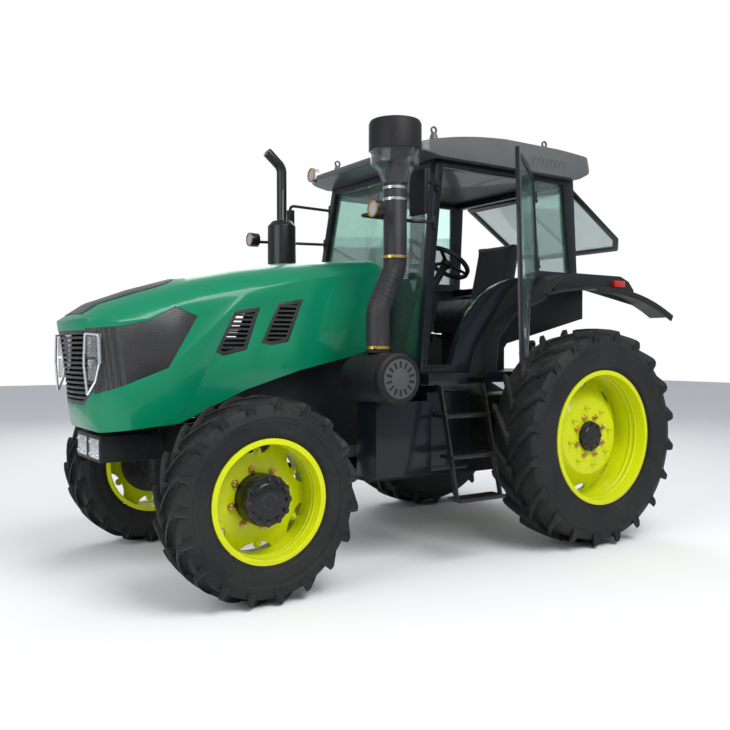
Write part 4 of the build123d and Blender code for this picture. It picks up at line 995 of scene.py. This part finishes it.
# %% Nuts and studs
def nut(radius, height, stud):
    """A nut on its stud, pointing along +X from the origin."""
    bpy.ops.object.select_all(action="DESELECT")
    bpy.ops.mesh.primitive_cylinder_add(
        vertices=6,
        radius=radius,
        depth=height,
        location=(height / 2, 0, 0),
        rotation=(0, pi / 2, 0),
    )
    body = bpy.context.object
    bpy.ops.object.transform_apply(location=True, rotation=True, scale=True)
    rounded(body, radius * 0.14, 2, 50)
    washer = turned_ring(
        [
            (-0.004, near_axis),
            (0.002, near_axis),
            (0.002, radius * 1.25),
            (0, radius * 1.35),
            (-0.004, radius * 1.35),
        ],
        (0, 0, 0),
        steps=24,
    )
    thread = turned_ring(
        [
            (0, near_axis),
            (height + stud, near_axis),
            (height + stud, radius * 0.42),
            (height + stud * 0.8, radius * 0.52),
            (0, radius * 0.52),
        ],
        (0, 0, 0),
        steps=16,
    )
    return joined([body, washer, rounded(thread, 0, angle=40)])


def ring_of(model, centre, face_x, radius, count, start=0.0):
    """Copies of a model in a ring about a wheel's axle, on a face that looks along +X."""
    copies = []
    for number in range(count):
        angle = start + 2 * pi * number / count
        place = Vector((face_x, centre[1] + cos(angle) * radius, centre[2] + sin(angle) * radius))
        copies.append(copy_at(model, Matrix.Translation(place) @ Matrix.Rotation(angle, 4, "X")))
    return copies


def on_both_wheels(obj, stem, body_stem, finish_name):
    """A wheel's detail on the left, and its mirror image on the right."""
    right = copy_at(obj, mirror_x)
    done(obj, stem + "_left", body_stem + "_left", finish_name)
    done(right, stem + "_right", body_stem + "_right", finish_name)


small_nut, stud_nut, lobe_nut = nut(0.017, 0.016, 0.012), nut(0.011, 0.012, 0.03), nut(0.019, 0.017, 0.014)

# %% [markdown]
# The rims keep the rebuilt discs with their openings. What a camera sees on them is the rolled edge of
# the barrel, the ring of nuts, the studs on the rear discs and the black reduction hubs with their bolts.


# %% Rims
def rolled_edge(centre, half, rim_radius):
    """The rolled edges and the well of a rim's barrel."""
    edge = half * 0.82 + 0.005
    rings = []
    for side in (1, -1):
        outline = [(
            side * (edge - 0.006 + 0.010 * cos(a)),
            rim_radius - 0.008 + 0.009 * sin(a),
        ) for a in (2 * pi * k / 10 for k in range(10))]
        rings.append(turned_ring(outline, centre, steps=96))
    for along in (0.55, 0.3):
        outline = [(
            edge * along + 0.012 * cos(a),
            rim_radius - 0.034 + 0.006 * sin(a),
        ) for a in (2 * pi * k / 8 for k in range(8))]
        rings.append(turned_ring(outline, centre, steps=96))
    return rounded(joined(rings), 0, angle=60)


for end, centre, half, rim_radius in (
    ("rear", rear_centre, 0.215, 0.495),
    ("front", front_centre, 0.165, 0.358),
):
    on_both_wheels(rolled_edge(centre, half, rim_radius), end + "_rim_edge", end + "_wheel", "rim_paint")
rear_disc_face, front_disc_face = 1.0 + 0.04 + 0.007, 0.95 - 0.025 + 0.007
rear_nuts = joined(ring_of(small_nut, rear_centre, rear_disc_face, 0.148, 8, radians(22)))
on_both_wheels(rear_nuts, "rear_nuts", "rear_wheel", "gold_zinc")
rear_studs = joined(ring_of(stud_nut, rear_centre, rear_disc_face, 0.214, 8, radians(10)))
on_both_wheels(rear_studs, "rear_studs", "rear_wheel", "rim_paint")
front_nuts = joined(ring_of(small_nut, front_centre, front_disc_face, 0.172, 8, radians(12)))
on_both_wheels(front_nuts, "front_nuts", "front_wheel", "gold_zinc")
lobe_bolts = joined(ring_of(lobe_nut, front_centre, front_disc_face - 0.012, 0.27, 6, radians(30)))
on_both_wheels(lobe_bolts, "front_lobe_bolts", "front_wheel", "rim_paint")


def hub_cap(centre, face_x, radius, bolts, depth, name, body):
    """The black hub's stepped and bolted cover, modelled by spinning, with bolts round its edge."""
    outline = [
        (-depth, radius * 0.9), (-depth, radius * 1.02), (-0.03, radius * 1.02),
        (-0.022, radius * 0.995), (-0.012, radius * 0.97), (-0.006, radius * 0.94),
        (-0.004, radius * 0.72), (0.0, radius * 0.69), (0.003, radius * 0.64), (0.003, radius * 0.3),
        (0.007, radius * 0.28), (0.007, near_axis), (-depth, near_axis),
    ]
    cover = rounded(turned_ring(outline, (face_x, centre[1], centre[2]), steps=64), 0, angle=25)
    model = nut(radius * 0.075, 0.009, 0.004)
    round_bolts = ring_of(model, centre, face_x - 0.006, radius * 0.83, bolts)
    away(model)
    bpy.ops.object.select_all(action="DESELECT")
    bpy.ops.mesh.primitive_cylinder_add(
        vertices=20,
        radius=radius * 0.13,
        depth=0.022,
        location=(0, 0, 0),
        rotation=(0, pi / 2, 0),
    )
    scallop = bpy.context.object
    bpy.ops.object.transform_apply(location=True, rotation=True, scale=True)
    rounded(scallop, 0.003, 2, 50)
    lobes = ring_of(scallop, centre, face_x - 0.017, radius * 0.9, bolts)
    away(scallop)
    whole = joined([cover, *round_bolts, *lobes])
    on_both_wheels(whole, name, body, "black_casting")


hub_cap(
    front_centre,
    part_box("front_hub_left")[1][0] + 0.004,
    0.146,
    12,
    0.1,
    "front_hub_cover",
    "front_wheel",
)
hub_cap(rear_centre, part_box("rear_hub_left")[1][0] + 0.004, 0.111, 8, 0.03, "rear_hub_cover", "rear_wheel")
valve = tube(
    [
        (front_disc_face - 0.05, -2.7 + 0.255, 0.595 - 0.12),
        (front_disc_face + 0.03, -2.7 + 0.265, 0.595 - 0.125),
    ],
    0.005,
    sides=10,
)
valve_seat = turned_ring(
    [(-0.004, near_axis), (0.004, near_axis), (0.006, 0.014), (0.0, 0.02), (-0.004, 0.02)],
    (front_disc_face - 0.04, -2.7 + 0.255, 0.595 - 0.12),
    steps=20,
)
on_both_wheels(joined([valve, valve_seat]), "front_valve", "front_wheel", "bright_steel")
for model in (small_nut, stud_nut, lobe_nut):
    away(model)
print(len(pieces), "pieces with the wheels")

# %% [markdown]
# The hood is the face of the tractor. A glossy black inlay lies along its top and ends in a rounded tip.
# A flat grid is cut to that outline, pressed down onto the hood by a shrinkwrap, and given a thickness.


# %% Helpers: sheets pressed onto a surface, and plain blocks
def pressed(rows, target, direction, lift, thickness):
    """A sheet through rows of points, pressed along one axis onto a piece and made solid."""
    sheet = row_surface(rows, wrap=False, caps=False)
    only(sheet)
    wrap = sheet.modifiers.new("wrap", "SHRINKWRAP")
    wrap.target, wrap.wrap_method, wrap.offset = target, "PROJECT", lift
    wrap.use_project_x, wrap.use_project_y, wrap.use_project_z = (axis in direction for axis in "xyz")
    wrap.use_negative_direction, wrap.use_positive_direction = True, False
    bpy.ops.object.modifier_apply(modifier="wrap")
    solid = sheet.modifiers.new("solid", "SOLIDIFY")
    solid.thickness, solid.offset = thickness, 1
    bpy.ops.object.modifier_apply(modifier="solid")
    edited(sheet, (bpy.ops.mesh.normals_make_consistent, {"inside": False}))
    return rounded(sheet, 0, angle=30)


def slab(low, high, bevel=0.003):
    """A plain block between two corners, with rounded edges."""
    size = [b - a for a, b in zip(low, high)]
    bpy.ops.object.select_all(action="DESELECT")
    bpy.ops.mesh.primitive_cube_add(size=1, location=[(a + b) / 2 for a, b in zip(low, high)], scale=size)
    block = bpy.context.object
    bpy.ops.object.transform_apply(location=True, rotation=True, scale=True)
    return rounded(block, bevel, 2, 50)


inlay_half, inlay_front, inlay_rear, inlay_round = 0.195, -3.5, -2.87, 0.2
inlay_rows = []
for step in range(41):
    y = inlay_front + (inlay_rear - inlay_front) * step / 40
    past = min(1.0, max(0.0, (y - (inlay_rear - inlay_round)) / inlay_round))
    half = max(0.004, inlay_half * (1 - past**2.4) ** 0.5)
    inlay_rows.append([(half * (k / 10 - 1), y, 2.4) for k in range(21)])
inlay = pressed(inlay_rows, pieces["hood_shell_shaped"], "z", 0.0015, 0.003)
done(inlay, "hood_inlay", "hood", "black_casting")
print("inlay", len(inlay.data.polygons), "faces")

# %% [markdown]
# The headlamp stands on the corner of the nose: a silver frame that ends in a point below, with two lens
# units behind it. Its outline is drawn once on the left corner and mirrored to the right.

# %% Headlamps
lamp_outline = [
    (0.337, -3.516, 1.545),
    (0.374, -3.452, 1.540),
    (0.377, -3.447, 1.37),
    (0.366, -3.466, 1.265),
    (0.343, -3.506, 1.185),
    (0.330, -3.522, 1.37),
]
outward = Vector((0.86, -0.51, 0.0))
lamp_frame = tube([*lamp_outline, lamp_outline[0]], 0.0075, bend=0.012, sides=12)
rear_bar = tube(
    [
        Vector(lamp_outline[1]) + Vector((0, 0.004, -0.012)),
        Vector(lamp_outline[2]) + Vector((0, 0.004, 0.0)),
    ],
    0.012,
    sides=12,
)


def lamp_unit(high, low, squeeze):
    """One lens unit between two heights of the lamp's outline: a bulging plate."""
    rows = []
    for step in range(9):
        share = step / 8
        z = high + (low - high) * share
        bulge = 0.012 * (1 - (2 * share - 1) ** 2)
        row = []
        for k in range(7):
            across_share = k / 6
            flat = Vector((0.337, -3.513, z)).lerp(
                Vector((0.371, -3.456, z)),
                squeeze + (1 - 2 * squeeze) * across_share,
            )
            row.append(flat + outward * (bulge * (1 - (2 * across_share - 1) ** 2) - 0.004))
        rows.append(row)
    unit = row_surface(rows, wrap=False, caps=False)
    only(unit)
    solid = unit.modifiers.new("solid", "SOLIDIFY")
    solid.thickness = 0.006
    bpy.ops.object.modifier_apply(modifier="solid")
    edited(unit, (bpy.ops.mesh.normals_make_consistent, {"inside": False}))
    return rounded(unit, 0, angle=50)


lamp_lenses = joined([lamp_unit(1.53, 1.41, 0.08), lamp_unit(1.395, 1.27, 0.14)])
lamp_metal = joined([lamp_frame, rear_bar])
for model, stem, finish_name in (
    (lamp_metal, "headlamp_frame", "lamp_silver"),
    (lamp_lenses, "headlamp_lens", "lamp_glass"),
):
    other = copy_at(model, mirror_x)
    done(model, stem + "_left", "hood", finish_name)
    done(other, stem + "_right", "hood", finish_name)

# %% [markdown]
# Under the nose the bracket carries two pale plates with a bolt at each corner. They are blank.

# %% Bracket plates
bracket_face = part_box("front_frame")[0][1]
plate_bolt = nut(0.011, 0.008, 0.004)
face_forward = Matrix.Rotation(-pi / 2, 4, "Z")
for side, place in ((1, "left"), (-1, "right")):
    low, high = sorted((side * 0.035, side * 0.225))
    plate = slab((low, bracket_face - 0.006, 0.79), (high, bracket_face + 0.002, 0.91), 0.002)
    bolts = [
        copy_at(plate_bolt, Matrix.Translation((x, bracket_face - 0.005, z)) @ face_forward)
        for x in (low + 0.025, high - 0.025)
        for z in (0.812, 0.888)
    ]
    done(joined([plate, *bolts]), "bracket_plate_" + place, "chassis", "lamp_silver")
away(plate_bolt)

# %% [markdown]
# The air filter's cover is a pale grey disc with a ring of slots, drawn as black blocks on the cover:
# painted shade for their dark openings. The intake pipe is ribbed where it bends, and is held by gold clamps
# below and silver ones under the precleaner.

# %% Filter cover
filter_centre, filter_face = (0.0, -1.765, 1.268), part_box("air_filter")[1][0] + 0.005
cover = turned_ring(
    [
        (-0.020, near_axis),
        (-0.020, 0.128),
        (-0.006, 0.128),
        (-0.003, 0.120),
        (-0.003, 0.058),
        (0.0, 0.052),
        (0.0, near_axis),
    ],
    (filter_face, *filter_centre[1:]),
    steps=72,
)
done(rounded(cover, 0, angle=30), "filter_cover", "chassis", "filter_cover")
# Each slot is a black block standing on the cover: painted shade where the real slot is open.
slot_model = slab((-0.004, -0.009, 0.068), (0.0005, 0.009, 0.112), 0.002)
slots = [
    copy_at(
        slot_model,
        Matrix.Translation((
            filter_face - 0.0015,
            *filter_centre[1:],
        )) @ Matrix.Rotation(2 * pi * k / 14, 4, "X"),
    )
    for k in range(14)
]
away(slot_model)
done(joined(slots), "filter_slots", "chassis", "black_casting")

# %% Ribbed pipe and clamps
pipe_x, filter_y, riser_y, neck_z = 0.8, -1.765, -1.626, 1.432
run_low, run_bend = Vector((pipe_x, filter_y, neck_z + 0.27)), Vector((pipe_x, riser_y, neck_z + 0.57))
ribs = []
slope = (run_bend - run_low).normalized()
for k in range(7):
    spot = run_low.lerp(run_bend, 0.2 + 0.1 * k)
    ribs.append(turned_ring(
        [(-0.006, 0.074), (0.006, 0.074), (0.005, 0.0795), (0.0, 0.081), (-0.005, 0.0795)],
        spot,
        slope,
        40,
    ))
done(rounded(joined(ribs), 0, angle=50), "pipe_ribs", "chassis", "rubber_hose")


def clamp(centre, radius):
    """A band clamp with its screw."""
    band = turned_ring(
        [(-0.009, radius), (0.009, radius), (0.009, radius + 0.002), (-0.009, radius + 0.002)],
        centre,
        (0, 0, 1),
        56,
    )
    screw_spot = (centre[0] + radius * 0.72, centre[1] - radius * 0.72, centre[2])
    screw = slab([c - 0.010 for c in screw_spot], [c + 0.008 for c in screw_spot], 0.002)
    return joined([band, screw])


gold_clamps = joined([
    clamp((pipe_x, filter_y, neck_z + 0.033), 0.0815),
    clamp((pipe_x, riser_y, neck_z + 0.63), 0.0815),
])
done(gold_clamps, "pipe_clamps_gold", "chassis", "gold_zinc")
silver_clamps = joined([clamp((pipe_x, riser_y, 2.44), 0.0785), clamp((pipe_x, riser_y, 2.515), 0.0785)])
done(silver_clamps, "pipe_clamps_silver", "chassis", "bright_steel")
print("pipe dressed with", len(ribs), "ribs")

# %% [markdown]
# The precleaner has a clear bowl under a black cap. The round lamps have a bronze ring and a clear lens.

# %% Precleaner
bowl_low, bowl_neck, bowl_wide, bowl_high, cap_high = 2.539, 2.63, 2.67, 2.76, 2.953
cap = turned_ring(
    [
        (bowl_high, near_axis),
        (bowl_high, 0.175),
        (2.931, 0.175),
        (2.949, 0.168),
        (cap_high, 0.1645),
        (cap_high, near_axis),
    ],
    (pipe_x, riser_y, 0),
    (0, 0, 1),
    72,
)
core = turned_ring(
    [
        (bowl_low, near_axis),
        (bowl_low, 0.081),
        (bowl_neck, 0.081),
        (bowl_neck + 0.01, 0.06),
        (bowl_high + 0.01, 0.06),
        (bowl_high + 0.01, near_axis),
    ],
    (pipe_x, riser_y, 0),
    (0, 0, 1),
    48,
)
done(
    rounded(joined([cap, core]), 0, angle=30),
    "precleaner_cap",
    "chassis",
    node_finish("precleaner"),
    ["precleaner"],
)
bowl_outside = [
    (bowl_low + 0.002, 0.083),
    (bowl_neck, 0.1155),
    (bowl_wide, 0.161),
    (bowl_high - 0.03, 0.163),
    (bowl_high, 0.17),
]
bowl_inside = [(along + 0.001, radius - 0.004) for along, radius in reversed(bowl_outside)]
bowl = turned_ring([*bowl_outside, *bowl_inside], (pipe_x, riser_y, 0), (0, 0, 1), 72)
done(rounded(bowl, 0, angle=30), "precleaner_bowl", "chassis", "smoky_clear")


# %% Round lamps
def lamp_face(centre, radius, name):
    """A lamp's ring and lens, looking forward."""
    ring = turned_ring(
        [(-0.004, radius * 0.84), (0.006, radius * 0.86), (0.006, radius * 0.98), (-0.004, radius * 1.0)],
        centre,
        (0, -1, 0),
        48,
    )
    lens = turned_ring(
        [
            (-0.006, near_axis),
            (-0.006, radius * 0.86),
            (0.001, radius * 0.84),
            (0.005, radius * 0.45),
            (0.006, near_axis),
        ],
        centre,
        (0, -1, 0),
        40,
    )
    done(rounded(ring, 0, angle=40), name + "_ring", "chassis", "amber_ring")
    done(rounded(lens, 0, angle=40), name + "_lens", "chassis", "lamp_silver")


work_lamp_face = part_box("work_lamps")[0][1]
arm_lamp_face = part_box("lamp_arms")[0][1]
for side, place in ((1, "left"), (-1, "right")):
    lamp_face((side * 0.64, work_lamp_face, 2.88), 0.058, "work_lamp_" + place)
    lamp_face((side * 0.885, arm_lamp_face, 2.35), 0.055, "arm_lamp_" + place)

# %% [markdown]
# The seat is soft, so its cushions aren't drawn but inflated: a copy of the rebuilt cushions is remeshed,
# blown up a little as cloth, capped so that it can't drift from its place, and smoothed once.

# %% Seat cushions
cushion_cap = 0.026
seat = frame["nodes"]["seat_cushions"].copy()
seat.data = frame["nodes"]["seat_cushions"].data.copy()
for key in list(seat.keys()):
    del seat[key]
seat.parent = None
scene.collection.objects.link(seat)
edited(seat, (bpy.ops.mesh.remove_doubles, {"threshold": 0.00002}))
seat_middle = sum((v.co for v in seat.data.vertices), Vector()) / len(seat.data.vertices)
for vertex in seat.data.vertices:
    vertex.co = seat_middle + (vertex.co - seat_middle) * 0.97
only(seat)
remesh = seat.modifiers.new("remesh", "REMESH")
remesh.mode, remesh.voxel_size = "VOXEL", 0.006
bpy.ops.object.modifier_apply(modifier="remesh")
start = [v.co.copy() for v in seat.data.vertices]
cloth = seat.modifiers.new("cloth", "CLOTH")
cloth.settings.use_pressure, cloth.settings.uniform_pressure_force = True, 4
cloth.settings.effector_weights.gravity = 0
for number in range(1, 21):
    scene.frame_set(number)
bpy.ops.object.modifier_apply(modifier="cloth")
scene.frame_set(1)
for vertex, rest in zip(seat.data.vertices, start):
    moved = vertex.co - rest
    if moved.length > cushion_cap:
        vertex.co = rest + moved.normalized() * cushion_cap
smooth = seat.modifiers.new("smooth", "SUBSURF")
smooth.levels = smooth.render_levels = 1
bpy.ops.object.modifier_apply(modifier="smooth")
rounded(seat, 0, angle=60)
done(seat, "seat_cushions_padded", node_body["seat_cushions"], "seat_fabric", ["seat_cushions"])
print("cushions", len(seat.data.polygons), "faces")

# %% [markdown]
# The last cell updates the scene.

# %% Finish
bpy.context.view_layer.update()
